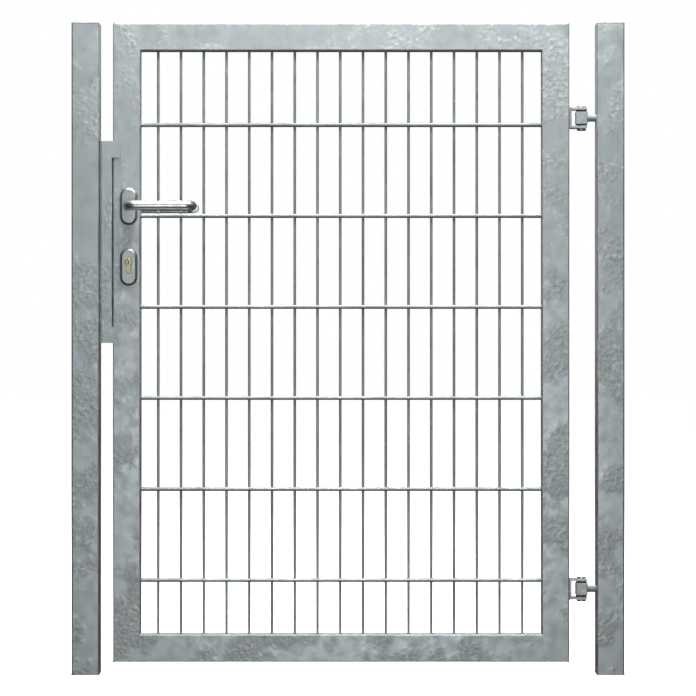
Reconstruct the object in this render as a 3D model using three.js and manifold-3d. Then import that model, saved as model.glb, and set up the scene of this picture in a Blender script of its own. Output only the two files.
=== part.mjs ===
// Single garden gate in galvanised steel: two square posts, a leaf of rectangular tube filled with
// double-rod mesh, two adjustable hinges, and a mortise lock with levers and a profile cylinder.
// Millimetres. X runs along the fence, from the lock side to the hinge side, +Y is away from the
// street, and +Z is up. The origin is on the ground, midway between the outer faces of the posts.
import * as THREE from 'three';
import { mergeVertices } from 'three/addons/utils/BufferGeometryUtils.js';
import Module from 'manifold-3d';

const wasm = await Module();
wasm.setup();

// Clearances
const fit = 0.3; // between pieces that touch
const sink = 0.3; // depth of a weld where rods cross
const overlap = 1; // of two shapes that are joined into one piece
const overrun = 1; // of a cutting shape past the face that it cuts

// Flat faces that stand in for round ones
const mergeDistance = 1e-4; // corners nearer to each other than this are one
const rodSides = 8; // of the mesh rods and of the studs
const screwSides = 12;
const barSides = 16;
const plugSides = 20; // of the cylinder's plugs and cam, and of the follower
const cornerSegments = 2; // in each arc of a rounded corner
const roundSegments = 6; // in each arc of the rosettes and the cylinder
const gripSegments = 6; // in half of a lever's section
const gripSteps = 28; // along a lever
const wireSegments = 3; // in half of the spring wire's section
const springSteps = 8; // along each turn of the spring

// Leaf frame: rectangular tube, mitred at the corners
const leafWidth = 1000;
const leafHeight = 1400;
const groundGap = 28;
const frameFace = 60;
const frameDepth = 40;
const frameWall = 2;
const frameCorner = 3;

// Posts
const postSize = 60;
const postWall = 3;
const postCorner = 4;
const postTopDrop = 2; // the posts end this far below the leaf's top
const lockGap = 30; // between the latch post and the leaf
const hingeGap = 60; // between the leaf and the hinge post

// Post caps
const capRim = 1.5;
const capRise = 4.5;
const capSlope = 7.5;
const capPlug = 12;
const capPlay = 0.5;

// Mesh: single uprights between pairs of horizontal rods
const uprightDiameter = 6;
const crossDiameter = 8;
const uprightPitch = 50;
const crossPitch = 200;
const uprightMargin = 30; // least space beside the first and last upright
const crossMargin = 100; // least space below the first and above the last row
const uprightShift = -2; // of the pattern from the middle of the opening
const crossShift = -22;

// Hinges
const upperHingeDrop = 207; // hinge middle below the leaf's top
const lowerHingeRise = 159; // hinge middle above the leaf's bottom
const hingeReach = 28; // pin axis from the leaf's edge
const bracketHeight = 46;
const bracketDepth = 26;
const bracketPlate = 5.5;
const bracketTail = 11.5; // bracket arm beyond the pin axis
const bracketCorner = 3;
const eyeSize = 26;
const eyeHeight = 27;
const eyeCorner = 2.5;
const pinDiameter = 12;
const pinHeadDiameter = 20;
const pinHeadHeight = 3;
const collarHeight = 4;
const pinEdge = 1; // chamfer of the pin's head and of the collar
const pinPlay = 0.4;
const bushSleeve = 2.4; // wall of the bush
const bushFlangeDiameter = 24;
const bushSleeveLength = 11;
const hingeRod = 16;
const hingeRodInPost = 30;
const insertAcrossFlats = 24;
const insertLength = 13;

// Lock
const backset = 35;
const leverHeight = 1026; // spindle axis above the ground
const lockSpacing = 123; // from the spindle axis down to the key axis
const caseThickness = 16;
const caseWall = 1.5;
const caseDepth = 51;
const caseMargin = 50; // case beyond the spindle axis and beyond the key axis
const spindleGap = 1.3; // between the spindle's corners and the case
const forendWidth = 24;
const forendOverhang = 17; // forend beyond each end of the case
const lugDepth = 11;
const lugLength = 22;
const lugScrewInset = 9; // forend screw from the end of the case
const boltThickness = 11; // of the latch bolt and the dead bolt

// Latch bolt and its follower
const latchThrow = 12;
const latchHeight = 28;
const latchNose = 23.5;
const latchTip = 2; // left flat by the bevel
const latchTailBottom = 19; // above the spindle axis
const latchTailHeight = 7.5;
const latchLugDrop = 4;
const latchLugWidth = 4;
const latchLugStart = -2.4; // lug face from the spindle axis, latch out
const springPostWidth = 4;
const springPostTop = 43;
const followerRadius = 10;
const followerArm = 18.5;
const followerArmWidth = 5;
const leverTurn = 40; // degrees
const springRadius = 3.5;
const springWire = 1;
const springTurns = 7;
const springAxis = 38.5; // above the spindle axis

// Dead bolt
const deadBoltHeight = 32;
const deadBoltRise = 43; // middle above the key axis
const deadBoltLength = 45;
const deadBoltCorner = 1;
const deadBoltNotch = 10; // length of the cam's notch at the bolt's inner end
const deadBoltNotchHeight = 8;
const strikePlay = 3; // of the bolts in the keeper plate's windows

// Profile cylinder
const cylinderRound = 17;
const cylinderStem = 10;
const cylinderHeight = 33;
const cylinderHalf = 31.5;
const plugDiameter = 13;
const camWidth = 9.6;
const camReach = 15.5;
const camFinger = 6;
const camHub = 7.4;
const keywayWidth = 2.4;
const keywayHeight = 8;
const keywayDepth = 20;
const cylinderScrewDrop = 20.3;
const screwDiameter = 5;
const screwHead = 9;

// Rosettes
const rosetteWidth = 38;
const rosetteHeight = 82;
const rosetteThickness = 10;
const rosetteBevel = 5;
const rosetteBevelDepth = 4;
const cylinderRosetteDrop = 10; // rosette middle below the key axis
const studDiameter = 4;
const studOffset = 31;
const studDepth = 6; // into each rosette

// Levers
const gripDiameter = 21;
const gripLength = 150; // from the spindle axis to the tip
const gripDistance = 45; // grip axis from the face of the leaf
const gripReturn = 18; // end of the grip from the face of the leaf
const gripBend = 17;
const neckDiameter = 18;
const neckPlay = 0.5;
const neckDepth = 8;
const spindleSize = 8;
const spindleHalf = 50;
const grubDiameter = 6;
const grubInset = 8; // grub screw axis from the face of the rosette
const grubSocket = 3;

// Strike: a folded angle on the latch post with two ears in front of the leaf, and its keeper plate
const strikeTop = 1169;
const strikeLength = 442;
const strikePlate = 3;
const strikeBend = 6;
const strikeEdge = 2;
const strikeClear = 1.5; // between the strike and the leaf's edge
const strikeBack = 15;
const stopGap = 3; // between the ears and the face of the leaf
const earHeight = 36;
const earLap = 17;
const bufferWidth = 12;
const bufferHeight = 24;
const strikeBoltDiameter = 8;
const strikeBoltFlats = 13;
const strikeBoltHead = 5.3;
const strikeBoltLength = 22;
const strikeBoltInset = 110;

// Places worked out from the sizes
const totalWidth = 2 * postSize + lockGap + leafWidth + hingeGap;
const postHeight = groundGap + leafHeight - postTopDrop;
const latchPostX = (postSize - totalWidth) / 2;
const hingePostX = (totalWidth - postSize) / 2;
const leafLeft = latchPostX + postSize / 2 + lockGap;
const leafRight = leafLeft + leafWidth;
const leafBottom = groundGap;
const leafTop = leafBottom + leafHeight;
const leafFront = -frameDepth / 2;
const hingeX = leafRight + hingeReach;
const hingePostFace = hingePostX - postSize / 2;
const hingeHeights = {
  upper: leafTop - upperHingeDrop,
  lower: leafBottom + lowerHingeRise,
};
const lockX = leafLeft + backset;
const keyHeight = leverHeight - lockSpacing;
const cylinderRosetteHeight = keyHeight - cylinderRosetteDrop;
const studHeights = {
  upper_lever: leverHeight + studOffset,
  lower_lever: leverHeight - studOffset,
  upper_cylinder: cylinderRosetteHeight + studOffset,
  lower_cylinder: cylinderRosetteHeight - studOffset,
};
const forendBack = leafLeft + frameWall;
const caseLeft = forendBack + fit;
const caseRight = caseLeft + caseDepth;
const caseTop = leverHeight + caseMargin;
const caseBottom = keyHeight - caseMargin;
const latchMiddle = leverHeight + latchHeight / 2;
const deadBoltMiddle = keyHeight + deadBoltRise;
const forendScrewHeights = {
  upper: caseTop + lugScrewInset,
  lower: caseBottom - lugScrewInset,
};
const strikeBottom = strikeTop - strikeLength;
const strikeLeft = latchPostX + postSize / 2 + fit;
const strikeRight = leafLeft - strikeClear;
const strikeFront = leafFront - stopGap - strikePlate;
const earMiddles = {
  upper: strikeTop - earHeight / 2,
  lower: strikeBottom + earHeight / 2,
};
const strikeBoltHeights = {
  upper: strikeTop - strikeBoltInset,
  lower: strikeBottom + strikeBoltInset,
};

// Finishes
const finishes = {
  zinc: { color: 0xa4adad, roughness: 0.55, metalness: 0.6 },
  steel: { color: 0x8d9496, roughness: 0.4, metalness: 0.9 },
  satin: { color: 0xb2b6b6, roughness: 0.3, metalness: 0.95 },
  brass: { color: 0xa89a62, roughness: 0.35, metalness: 0.9 },
  cap: { color: 0xd4d8d8, roughness: 0.6, metalness: 0 },
  rubber: { color: 0x202223, roughness: 0.85, metalness: 0 },
  nylon: { color: 0xe4e2da, roughness: 0.5, metalness: 0 },
};

const gate = new THREE.Group();

/** Adds one piece to the gate as a named mesh with a finish of its own. */
function addPiece(name, geometry, finish) {
  const mesh = new THREE.Mesh(geometry, new THREE.MeshStandardMaterial(finishes[finish]));
  mesh.name = name;
  gate.add(mesh);
}

/** Turns a closed geometry into a solid that can be joined and cut. */
function solid(geometry) {
  const bare = geometry.clone();
  bare.deleteAttribute('normal');
  bare.deleteAttribute('uv');
  const merged = mergeVertices(bare, mergeDistance);
  const mesh = new wasm.Mesh({
    numProp: 3,
    vertProperties: new Float32Array(merged.attributes.position.array),
    triVerts: new Uint32Array(merged.index.array),
  });
  return new wasm.Manifold(mesh);
}

/** Turns a solid back into a geometry. */
function geometryOf(body) {
  const mesh = body.getMesh();
  const geometry = new THREE.BufferGeometry();
  geometry.setAttribute('position', new THREE.BufferAttribute(mesh.vertProperties, 3));
  geometry.setIndex(new THREE.BufferAttribute(mesh.triVerts, 1));
  geometry.computeVertexNormals();
  return geometry;
}

/** Joins the added geometries to the first one and cuts the others away. */
function carve(base, cuts, additions = []) {
  let body = solid(base);
  for (const addition of additions) {
    body = body.add(solid(addition));
  }
  for (const cut of cuts) {
    body = body.subtract(solid(cut));
  }
  return geometryOf(body);
}

/** A box between two corners. */
function boxBetween(x0, x1, y0, y1, z0, z1) {
  const box = new THREE.BoxGeometry(x1 - x0, y1 - y0, z1 - z0);
  return box.translate((x0 + x1) / 2, (y0 + y1) / 2, (z0 + z1) / 2);
}

const axisFrames = {
  x: new THREE.Matrix4().set(0, 0, 1, 0, 1, 0, 0, 0, 0, 1, 0, 0, 0, 0, 0, 1),
  y: new THREE.Matrix4().set(1, 0, 0, 0, 0, 0, -1, 0, 0, 1, 0, 0, 0, 0, 0, 1),
  z: new THREE.Matrix4(),
};

/**
 * Extrudes a shape between two values along an axis. The shape's own x and y become
 * y and z along X, x and z along Y, and x and y along Z.
 */
function extrudeAlong(axis, shape, from, to, segments = cornerSegments) {
  const depth = to - from;
  const settings = { depth, bevelEnabled: false, curveSegments: segments };
  const geometry = new THREE.ExtrudeGeometry(shape, settings);
  geometry.translate(0, 0, axis === 'y' ? -to : from);
  return geometry.applyMatrix4(axisFrames[axis]);
}

/** A round bar between two values along an axis, at two places across it. */
function barAlong(axis, radius, across, up, from, to, sides = barSides) {
  const circle = new THREE.Shape();
  for (let side = 0; side < sides; side++) {
    const angle = ((side + 0.5) / sides) * 2 * Math.PI;
    const x = across + radius * Math.cos(angle);
    const y = up + radius * Math.sin(angle);
    if (side === 0) {
      circle.moveTo(x, y);
    } else {
      circle.lineTo(x, y);
    }
  }
  circle.closePath();
  return extrudeAlong(axis, circle, from, to);
}

/** A rod of the mesh, with its flats square to X, Y or Z and its diameter across them. */
function rodAlong(axis, diameter, across, up, from, to) {
  const radius = diameter / 2 / Math.cos(Math.PI / rodSides);
  return barAlong(axis, radius, across, up, from, to, rodSides);
}

/** A hexagonal bar, sized across its flats. */
function hexAlong(axis, flats, across, up, from, to) {
  return barAlong(axis, flats / Math.sqrt(3), across, up, from, to, 6);
}

/** A rectangle with rounded corners, as a shape or as the outline of a hole. */
function roundedRectangle(Kind, width, height, corner, middleX = 0, middleY = 0) {
  const x = width / 2 - corner;
  const y = height / 2 - corner;
  const outline = new Kind();
  outline.moveTo(middleX + x, middleY - y - corner);
  outline.absarc(middleX + x, middleY - y, corner, -Math.PI / 2, 0, false);
  outline.absarc(middleX + x, middleY + y, corner, 0, Math.PI / 2, false);
  outline.absarc(middleX - x, middleY + y, corner, Math.PI / 2, Math.PI, false);
  outline.absarc(middleX - x, middleY - y, corner, Math.PI, 1.5 * Math.PI, false);
  outline.closePath();
  return outline;
}

/** A rectangular tube's section. */
function tubeSection(width, depth, wall, corner) {
  const section = roundedRectangle(THREE.Shape, width, depth, corner);
  const inner = roundedRectangle(THREE.Path, width - 2 * wall, depth - 2 * wall, corner - wall / 2);
  section.holes.push(inner);
  return section;
}

/** A frame tube lying along Z from 0, its outer face at x = 0, with both ends mitred. */
function mitredTube(length) {
  const section = tubeSection(frameFace, frameDepth, frameWall, frameCorner);
  const tube = extrudeAlong('z', section, 0, length);
  const gap = fit / Math.SQRT2;
  const points = tube.attributes.position;
  for (let i = 0; i < points.count; i++) {
    const inward = points.getX(i) + frameFace / 2;
    const cut = inward + gap;
    points.setX(i, inward);
    points.setZ(i, points.getZ(i) > length / 2 ? length - cut : cut);
  }
  return tube;
}

/** A countersunk screw along X, its head flush with x0; grown by play, it is its own hole. */
function countersunkScrew(x0, x1, z, play) {
  const shank = barAlong('x', screwDiameter / 2 + play, 0, z, x0 + play, x1, screwSides);
  const depth = frameWall;
  const topRadius = screwHead / 2 + play;
  const head = new THREE.CylinderGeometry(
    screwDiameter / 2 + play, topRadius, depth, screwSides,
  );
  head.rotateZ(-Math.PI / 2);
  head.translate(x0 + depth / 2, 0, z);
  return { shank, head };
}

/** The profile cylinder's outline, grown by play; x across and y up, from the lock's X and keys. */
function cylinderOutline(play) {
  const round = cylinderRound / 2 + play;
  const stem = cylinderStem / 2 + play;
  const meet = Math.asin(stem / round);
  const stemEnd = keyHeight + cylinderRound / 2 - cylinderHeight + cylinderStem / 2;
  const outline = new THREE.Shape();
  outline.moveTo(lockX + stem, stemEnd);
  outline.absarc(lockX, keyHeight, round, meet - Math.PI / 2, 1.5 * Math.PI - meet, false);
  outline.lineTo(lockX - stem, stemEnd);
  outline.absarc(lockX, stemEnd, stem, Math.PI, 2 * Math.PI, false);
  outline.closePath();
  return outline;
}

// Posts and their caps

/** A post standing on the ground with holes in the wall that faces the leaf. */
function post(middle, side, holes) {
  const section = tubeSection(postSize, postSize, postWall, postCorner);
  const tube = extrudeAlong('z', section, 0, postHeight).translate(middle, 0, 0);
  const face = middle + (side * postSize) / 2;
  const inside = face - side * 2 * postWall;
  const [from, to] = [face + side * postWall, inside].sort((a, b) => a - b);
  return carve(tube, holes.map(({ radius, z }) => barAlong('x', radius, 0, z, from, to)));
}

/** A low cap with sloping sides and a plug that fits inside the post. */
function postCap(middle) {
  const seat = postHeight + fit;
  const plugSize = postSize - 2 * (postWall + capPlay);
  const half = postSize / 2;
  const rim = roundedRectangle(THREE.Shape, postSize, postSize, postCorner, middle);
  const base = extrudeAlong('z', rim, seat, seat + capRim);
  const top = (half - capSlope) * Math.SQRT2;
  const slope = new THREE.CylinderGeometry(top, half * Math.SQRT2, capRise, 4);
  slope.rotateX(Math.PI / 2);
  slope.rotateZ(Math.PI / 4);
  slope.translate(middle, 0, seat + capRim + capRise / 2);
  const bounds = extrudeAlong('z', rim, seat, seat + capRim + capRise);
  const lid = solid(slope).intersect(solid(bounds)).add(solid(base));
  const plug = roundedRectangle(THREE.Shape, plugSize, plugSize, postCorner, middle);
  return geometryOf(lid.add(solid(extrudeAlong('z', plug, seat - capPlug, seat + capRim))));
}

const strikeBoltHoles = Object.values(strikeBoltHeights).map((z) => ({
  radius: strikeBoltDiameter / 2 + fit,
  z,
}));
const hingeRodHoles = Object.values(hingeHeights).map((z) => ({
  radius: hingeRod / 2 + fit,
  z,
}));
addPiece('latch_post', post(latchPostX, 1, strikeBoltHoles), 'zinc');
addPiece('hinge_post', post(hingePostX, -1, hingeRodHoles), 'zinc');
addPiece('latch_post_cap', postCap(latchPostX), 'cap');
addPiece('hinge_post_cap', postCap(hingePostX), 'cap');

// Strike

/** The strike's section: a leg on the post and a front flange, folded with a round bend. */
function strikeSection() {
  const outer = strikeBend;
  const inner = strikeBend - strikePlate;
  const edge = strikeEdge;
  const section = new THREE.Shape();
  section.moveTo(strikeLeft, strikeBack);
  section.lineTo(strikeLeft, strikeFront + outer);
  section.absarc(strikeLeft + outer, strikeFront + outer, outer, Math.PI, 1.5 * Math.PI, false);
  section.lineTo(strikeRight - edge, strikeFront);
  section.absarc(strikeRight - edge, strikeFront + edge, edge, -Math.PI / 2, 0, false);
  section.lineTo(strikeRight, strikeFront + strikePlate);
  section.lineTo(strikeLeft + outer, strikeFront + strikePlate);
  section.absarc(strikeLeft + outer, strikeFront + outer, inner, 1.5 * Math.PI, Math.PI, true);
  section.lineTo(strikeLeft + strikePlate, strikeBack);
  section.closePath();
  return section;
}

/** A window through the keeper plate for a bolt of the given height. */
function keeperWindow(middle, height) {
  const half = height / 2 + strikePlay;
  const wide = (boltThickness + strikePlay) / 2;
  const x0 = strikeRight - 2 * strikePlate;
  return boxBetween(x0, strikeRight + strikePlate, -wide, wide, middle - half, middle + half);
}

/** The flat plate behind the front flange that takes the latch and the dead bolt. */
function keeperPlate() {
  const front = strikeFront + strikePlate + fit;
  const plate = boxBetween(
    strikeRight - strikePlate, strikeRight, front, strikeBack, strikeBottom, strikeTop,
  );
  const windows = [
    keeperWindow(latchMiddle, latchHeight),
    keeperWindow(deadBoltMiddle, deadBoltHeight),
  ];
  return carve(plate, windows);
}

/** The strike with its ears and its bolt holes. */
function strike() {
  const angle = extrudeAlong('z', strikeSection(), strikeBottom, strikeTop);
  const from = strikeRight - earLap;
  const to = leafLeft + earLap;
  const ears = Object.values(earMiddles).map((middle) => {
    const plate = roundedRectangle(
      THREE.Shape, to - from, earHeight, strikeEdge, (from + to) / 2, middle,
    );
    return extrudeAlong('y', plate, strikeFront, strikeFront + strikePlate);
  });
  const cuts = Object.values(strikeBoltHeights).map((z) => {
    const radius = strikeBoltDiameter / 2 + fit;
    return barAlong('x', radius, 0, z, strikeLeft - fit, strikeLeft + 2 * strikePlate);
  });
  return carve(angle, cuts, ears);
}

/** A hexagon bolt that holds the strike to the post. */
function strikeBolt(z) {
  const seat = strikeLeft + strikePlate + fit;
  const head = hexAlong('x', strikeBoltFlats, 0, z, seat, seat + strikeBoltHead);
  const from = seat - strikeBoltLength;
  const shank = barAlong('x', strikeBoltDiameter / 2, 0, z, from, seat + overlap, screwSides);
  return carve(head, [], [shank]);
}

/** A rubber buffer between an ear and the leaf. */
function stopBuffer(middle) {
  const x = leafLeft + earLap / 2;
  const pad = roundedRectangle(THREE.Shape, bufferWidth, bufferHeight, strikeEdge, x, middle);
  return extrudeAlong('y', pad, strikeFront + strikePlate + fit, leafFront - fit);
}

addPiece('strike', strike(), 'zinc');
addPiece('keeper_plate', keeperPlate(), 'zinc');
for (const end of ['upper', 'lower']) {
  addPiece(`${end}_strike_bolt`, strikeBolt(strikeBoltHeights[end]), 'steel');
  addPiece(`${end}_stop_buffer`, stopBuffer(earMiddles[end]), 'rubber');
}

// Leaf frame and mesh

/** The leaf's left or right tube, with its outer face turned out. */
function stile(side) {
  const tube = mitredTube(leafHeight);
  if (side > 0) {
    tube.rotateZ(Math.PI);
  }
  return tube.translate(side > 0 ? leafRight : leafLeft, 0, leafBottom);
}

/** The leaf's top or bottom tube, with its outer face turned out. */
function rail(side) {
  const tube = mitredTube(leafWidth);
  tube.rotateY((side * Math.PI) / 2);
  return tube.translate(side > 0 ? leafLeft : leafRight, 0, side > 0 ? leafTop : leafBottom);
}

/** Through holes for the lock in a wall that is cut from y0 to y1. */
function lockHoles(y0, y1, spindleRadius, play) {
  const holes = Object.values(studHeights).map((z) => {
    return barAlong('y', studDiameter / 2 + fit, lockX, z, y0, y1, rodSides);
  });
  holes.push(barAlong('y', spindleRadius, lockX, leverHeight, y0, y1));
  holes.push(extrudeAlong('y', cylinderOutline(play), y0, y1, roundSegments));
  return holes;
}

/** The lock-side tube with the slot for the forend and the holes for the lock. */
function lockStile() {
  const half = forendWidth / 2 + fit;
  const low = caseBottom - forendOverhang - fit;
  const high = caseTop + forendOverhang + fit;
  const slot = boxBetween(
    leafLeft - overrun, leafLeft + 2 * frameWall, -half, half, low, high,
  );
  const reach = frameDepth / 2 + overrun;
  const spindleRadius = (neckDiameter + neckPlay) / 2;
  return carve(stile(-1), [slot, ...lockHoles(-reach, reach, spindleRadius, 2 * fit)]);
}

/** The places of a pattern of a given pitch that fits an opening, shifted from its middle. */
function pattern(from, to, pitch, margin, shift) {
  const count = Math.floor((to - from - 2 * margin) / pitch) + 1;
  const first = (from + to) / 2 + shift - ((count - 1) * pitch) / 2;
  return Array.from({ length: count }, (_, i) => first + i * pitch);
}

/** The welded mesh: uprights in the middle and a horizontal rod on each side of them. */
function meshPanel() {
  const x0 = leafLeft + frameFace;
  const x1 = leafRight - frameFace;
  const z0 = leafBottom + frameFace;
  const z1 = leafTop - frameFace;
  const apart = (uprightDiameter + crossDiameter) / 2 - sink;
  const rods = [];
  for (const x of pattern(x0, x1, uprightPitch, uprightMargin, uprightShift)) {
    rods.push(rodAlong('z', uprightDiameter, x, 0, z0 + fit, z1 - fit));
  }
  for (const z of pattern(z0, z1, crossPitch, crossMargin, crossShift)) {
    rods.push(rodAlong('x', crossDiameter, -apart, z, x0 + fit, x1 - fit));
    rods.push(rodAlong('x', crossDiameter, apart, z, x0 + fit, x1 - fit));
  }
  return geometryOf(wasm.Manifold.union(rods.map(solid)));
}

addPiece('lock_stile', lockStile(), 'zinc');
addPiece('hinge_stile', stile(1), 'zinc');
addPiece('top_rail', rail(1), 'zinc');
addPiece('bottom_rail', rail(-1), 'zinc');
addPiece('mesh_panel', meshPanel(), 'zinc');

// Hinges

/** The U-shaped bracket on the leaf's edge, open to the post. */
function hingeBracket(z) {
  const x0 = leafRight + fit;
  const x1 = hingeX + bracketTail;
  const half = bracketHeight / 2;
  const inner = half - bracketPlate;
  const corner = bracketCorner;
  const section = new THREE.Shape();
  section.moveTo(x0, z - half);
  section.lineTo(x1 - corner, z - half);
  section.absarc(x1 - corner, z - half + corner, corner, -Math.PI / 2, 0, false);
  section.lineTo(x1, z - inner);
  section.lineTo(x0 + bracketPlate, z - inner);
  section.lineTo(x0 + bracketPlate, z + inner);
  section.lineTo(x1, z + inner);
  section.absarc(x1 - corner, z + half - corner, corner, 0, Math.PI / 2, false);
  section.lineTo(x0, z + half);
  section.closePath();
  const bracket = extrudeAlong('y', section, -bracketDepth / 2, bracketDepth / 2);
  const [low, high] = [z - half - overrun, z + half + overrun];
  return carve(bracket, [barAlong('z', pinDiameter / 2 + pinPlay, hingeX, 0, low, high)]);
}

/**
 * A ring, bar or bush turned about the hinge axis from an outline of radii and heights, which
 * count upwards from z, or downwards where the side is -1.
 */
function turned(outline, z, side = 1) {
  const points = outline.map(([radius, height]) => new THREE.Vector2(radius, height));
  const geometry = new THREE.LatheGeometry(points, barSides, Math.PI / barSides);
  return geometry.rotateX((side * Math.PI) / 2).translate(hingeX, 0, z);
}

/** The hinge pin, with its head on the upper arm. */
function hingePin(z) {
  const seat = bracketHeight / 2 + fit;
  const end = -seat - collarHeight;
  const radius = pinDiameter / 2;
  const head = pinHeadDiameter / 2;
  const top = seat + pinHeadHeight;
  const outline = [
    [0, end], [radius, end], [radius, seat], [head, seat], [head, top - pinEdge],
    [head - pinEdge, top], [0, top],
  ];
  return turned(outline, z);
}

/** The round collar that keeps the pin in, below the lower arm. */
function pinCollar(z) {
  const seat = -bracketHeight / 2 - fit;
  const bore = pinDiameter / 2 + fit;
  const rim = pinHeadDiameter / 2;
  const end = seat - collarHeight;
  const outline = [
    [bore, end], [rim - pinEdge, end], [rim, end + pinEdge], [rim, seat], [bore, seat],
    [bore, end],
  ];
  return turned(outline, z);
}

/** A flanged bush between the pin and the eye, in its upper or lower end. */
function hingeBush(z, side) {
  const inner = pinDiameter / 2 + pinPlay;
  const outer = inner + bushSleeve;
  const flange = bushFlangeDiameter / 2;
  const seat = eyeHeight / 2 + fit;
  const face = bracketHeight / 2 - bracketPlate - fit;
  const end = seat - bushSleeveLength;
  const outline = [
    [inner, end], [outer, end], [outer, seat], [flange, seat], [flange, face], [inner, face],
    [inner, end],
  ];
  return turned(outline, z, side);
}

/** The square eye and the threaded rod that runs into the post. */
function hingeEyebolt(z) {
  const block = roundedRectangle(THREE.Shape, eyeSize, eyeSize, eyeCorner, hingeX);
  const eye = extrudeAlong('z', block, z - eyeHeight / 2, z + eyeHeight / 2);
  const end = hingePostFace + hingeRodInPost;
  const rod = barAlong('x', hingeRod / 2, 0, z, hingeX + eyeSize / 2 - overlap, end);
  const radius = pinDiameter / 2 + pinPlay + bushSleeve + fit;
  return carve(eye, [barAlong('z', radius, hingeX, 0, z - eyeHeight, z + eyeHeight)], [rod]);
}

/** The threaded insert inside the post that the rod turns in to set the gap. */
function postInsert(z) {
  const from = hingePostFace + postWall + fit;
  const to = from + insertLength;
  const nut = hexAlong('x', insertAcrossFlats, 0, z, from, to);
  return carve(nut, [barAlong('x', hingeRod / 2 + fit, 0, z, from - overrun, to + overrun)]);
}

for (const [place, z] of Object.entries(hingeHeights)) {
  addPiece(`${place}_hinge_bracket`, hingeBracket(z), 'zinc');
  addPiece(`${place}_hinge_pin`, hingePin(z), 'steel');
  addPiece(`${place}_pin_collar`, pinCollar(z), 'steel');
  addPiece(`${place}_hinge_top_bush`, hingeBush(z, 1), 'nylon');
  addPiece(`${place}_hinge_bottom_bush`, hingeBush(z, -1), 'nylon');
  addPiece(`${place}_hinge_eyebolt`, hingeEyebolt(z), 'zinc');
  addPiece(`${place}_post_insert`, postInsert(z), 'steel');
}

// Lock case

const spindleHoleRadius = spindleSize / Math.SQRT2 + spindleGap;

/** The lock's tray, open to the forend and to the cover. */
function lockCase() {
  const half = caseThickness / 2;
  const lid = half - caseWall - fit;
  const tray = boxBetween(caseLeft, caseRight, -half, lid, caseBottom, caseTop);
  const hollow = boxBetween(
    caseLeft - overrun, caseRight - caseWall, caseWall - half, half,
    caseBottom + caseWall, caseTop - caseWall,
  );
  const [y0, y1] = [-half - overrun, caseWall - half + overrun];
  return carve(tray, [hollow, ...lockHoles(y0, y1, spindleHoleRadius, 2 * fit)]);
}

/** The flat cover of the lock case. */
function lockCover() {
  const half = caseThickness / 2;
  const plate = boxBetween(caseLeft, caseRight, half - caseWall, half, caseBottom, caseTop);
  const [y0, y1] = [half - caseWall - overrun, half + overrun];
  return carve(plate, lockHoles(y0, y1, spindleHoleRadius, 2 * fit));
}

/** A window through the forend for a bolt. */
function forendWindow(middle, height) {
  const half = height / 2 + 2 * fit;
  const wide = boltThickness / 2 + 2 * fit;
  const [x0, x1] = [leafLeft - overrun, forendBack + overrun];
  return boxBetween(x0, x1, -wide, wide, middle - half, middle + half);
}

/** The forend: the plate that shows in the leaf's edge, flush with the tube. */
function lockForend() {
  const height = caseTop - caseBottom + 2 * forendOverhang;
  const middle = (caseTop + caseBottom) / 2;
  const plate = roundedRectangle(THREE.Shape, forendWidth, height, frameWall, 0, middle);
  const cuts = [
    forendWindow(latchMiddle, latchHeight),
    forendWindow(deadBoltMiddle, deadBoltHeight),
  ];
  for (const z of [...Object.values(forendScrewHeights), keyHeight - cylinderScrewDrop]) {
    const { shank, head } = countersunkScrew(leafLeft, forendBack + overrun, z, fit);
    cuts.push(shank, head);
  }
  return carve(extrudeAlong('x', plate, leafLeft, forendBack), cuts);
}

/** A threaded lug inside the tube, behind one end of the forend. */
function forendLug(side) {
  const near = side > 0 ? caseTop + fit : caseBottom - fit;
  const [low, high] = [near, near + side * lugLength].sort((a, b) => a - b);
  const half = caseThickness / 2;
  const lug = boxBetween(caseLeft, caseLeft + lugDepth, -half, half, low, high);
  const z = side > 0 ? forendScrewHeights.upper : forendScrewHeights.lower;
  const radius = screwDiameter / 2 + fit;
  const [x0, x1] = [caseLeft - overrun, caseLeft + lugDepth + overrun];
  return carve(lug, [barAlong('x', radius, 0, z, x0, x1, screwSides)]);
}

/** A countersunk screw that runs in from the forend. */
function screw(z, end) {
  const { shank, head } = countersunkScrew(leafLeft + fit / 2, end, z, 0);
  return carve(shank, [], [head]);
}

/** A bolt through both rosettes, the leaf and the lock. */
function rosetteStud(z) {
  const reach = frameDepth / 2 + fit + studDepth;
  return barAlong('y', studDiameter / 2, lockX, z, -reach, reach, rodSides);
}

addPiece('lock_case', lockCase(), 'steel');
addPiece('lock_cover', lockCover(), 'steel');
addPiece('lock_forend', lockForend(), 'satin');
addPiece('upper_forend_lug', forendLug(1), 'steel');
addPiece('lower_forend_lug', forendLug(-1), 'steel');
for (const [place, z] of Object.entries(forendScrewHeights)) {
  addPiece(`${place}_forend_screw`, screw(z, caseLeft + lugDepth), 'steel');
}
for (const [place, z] of Object.entries(studHeights)) {
  addPiece(`${place}_stud`, rosetteStud(z), 'steel');
}

// Bolts, follower and spring

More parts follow.
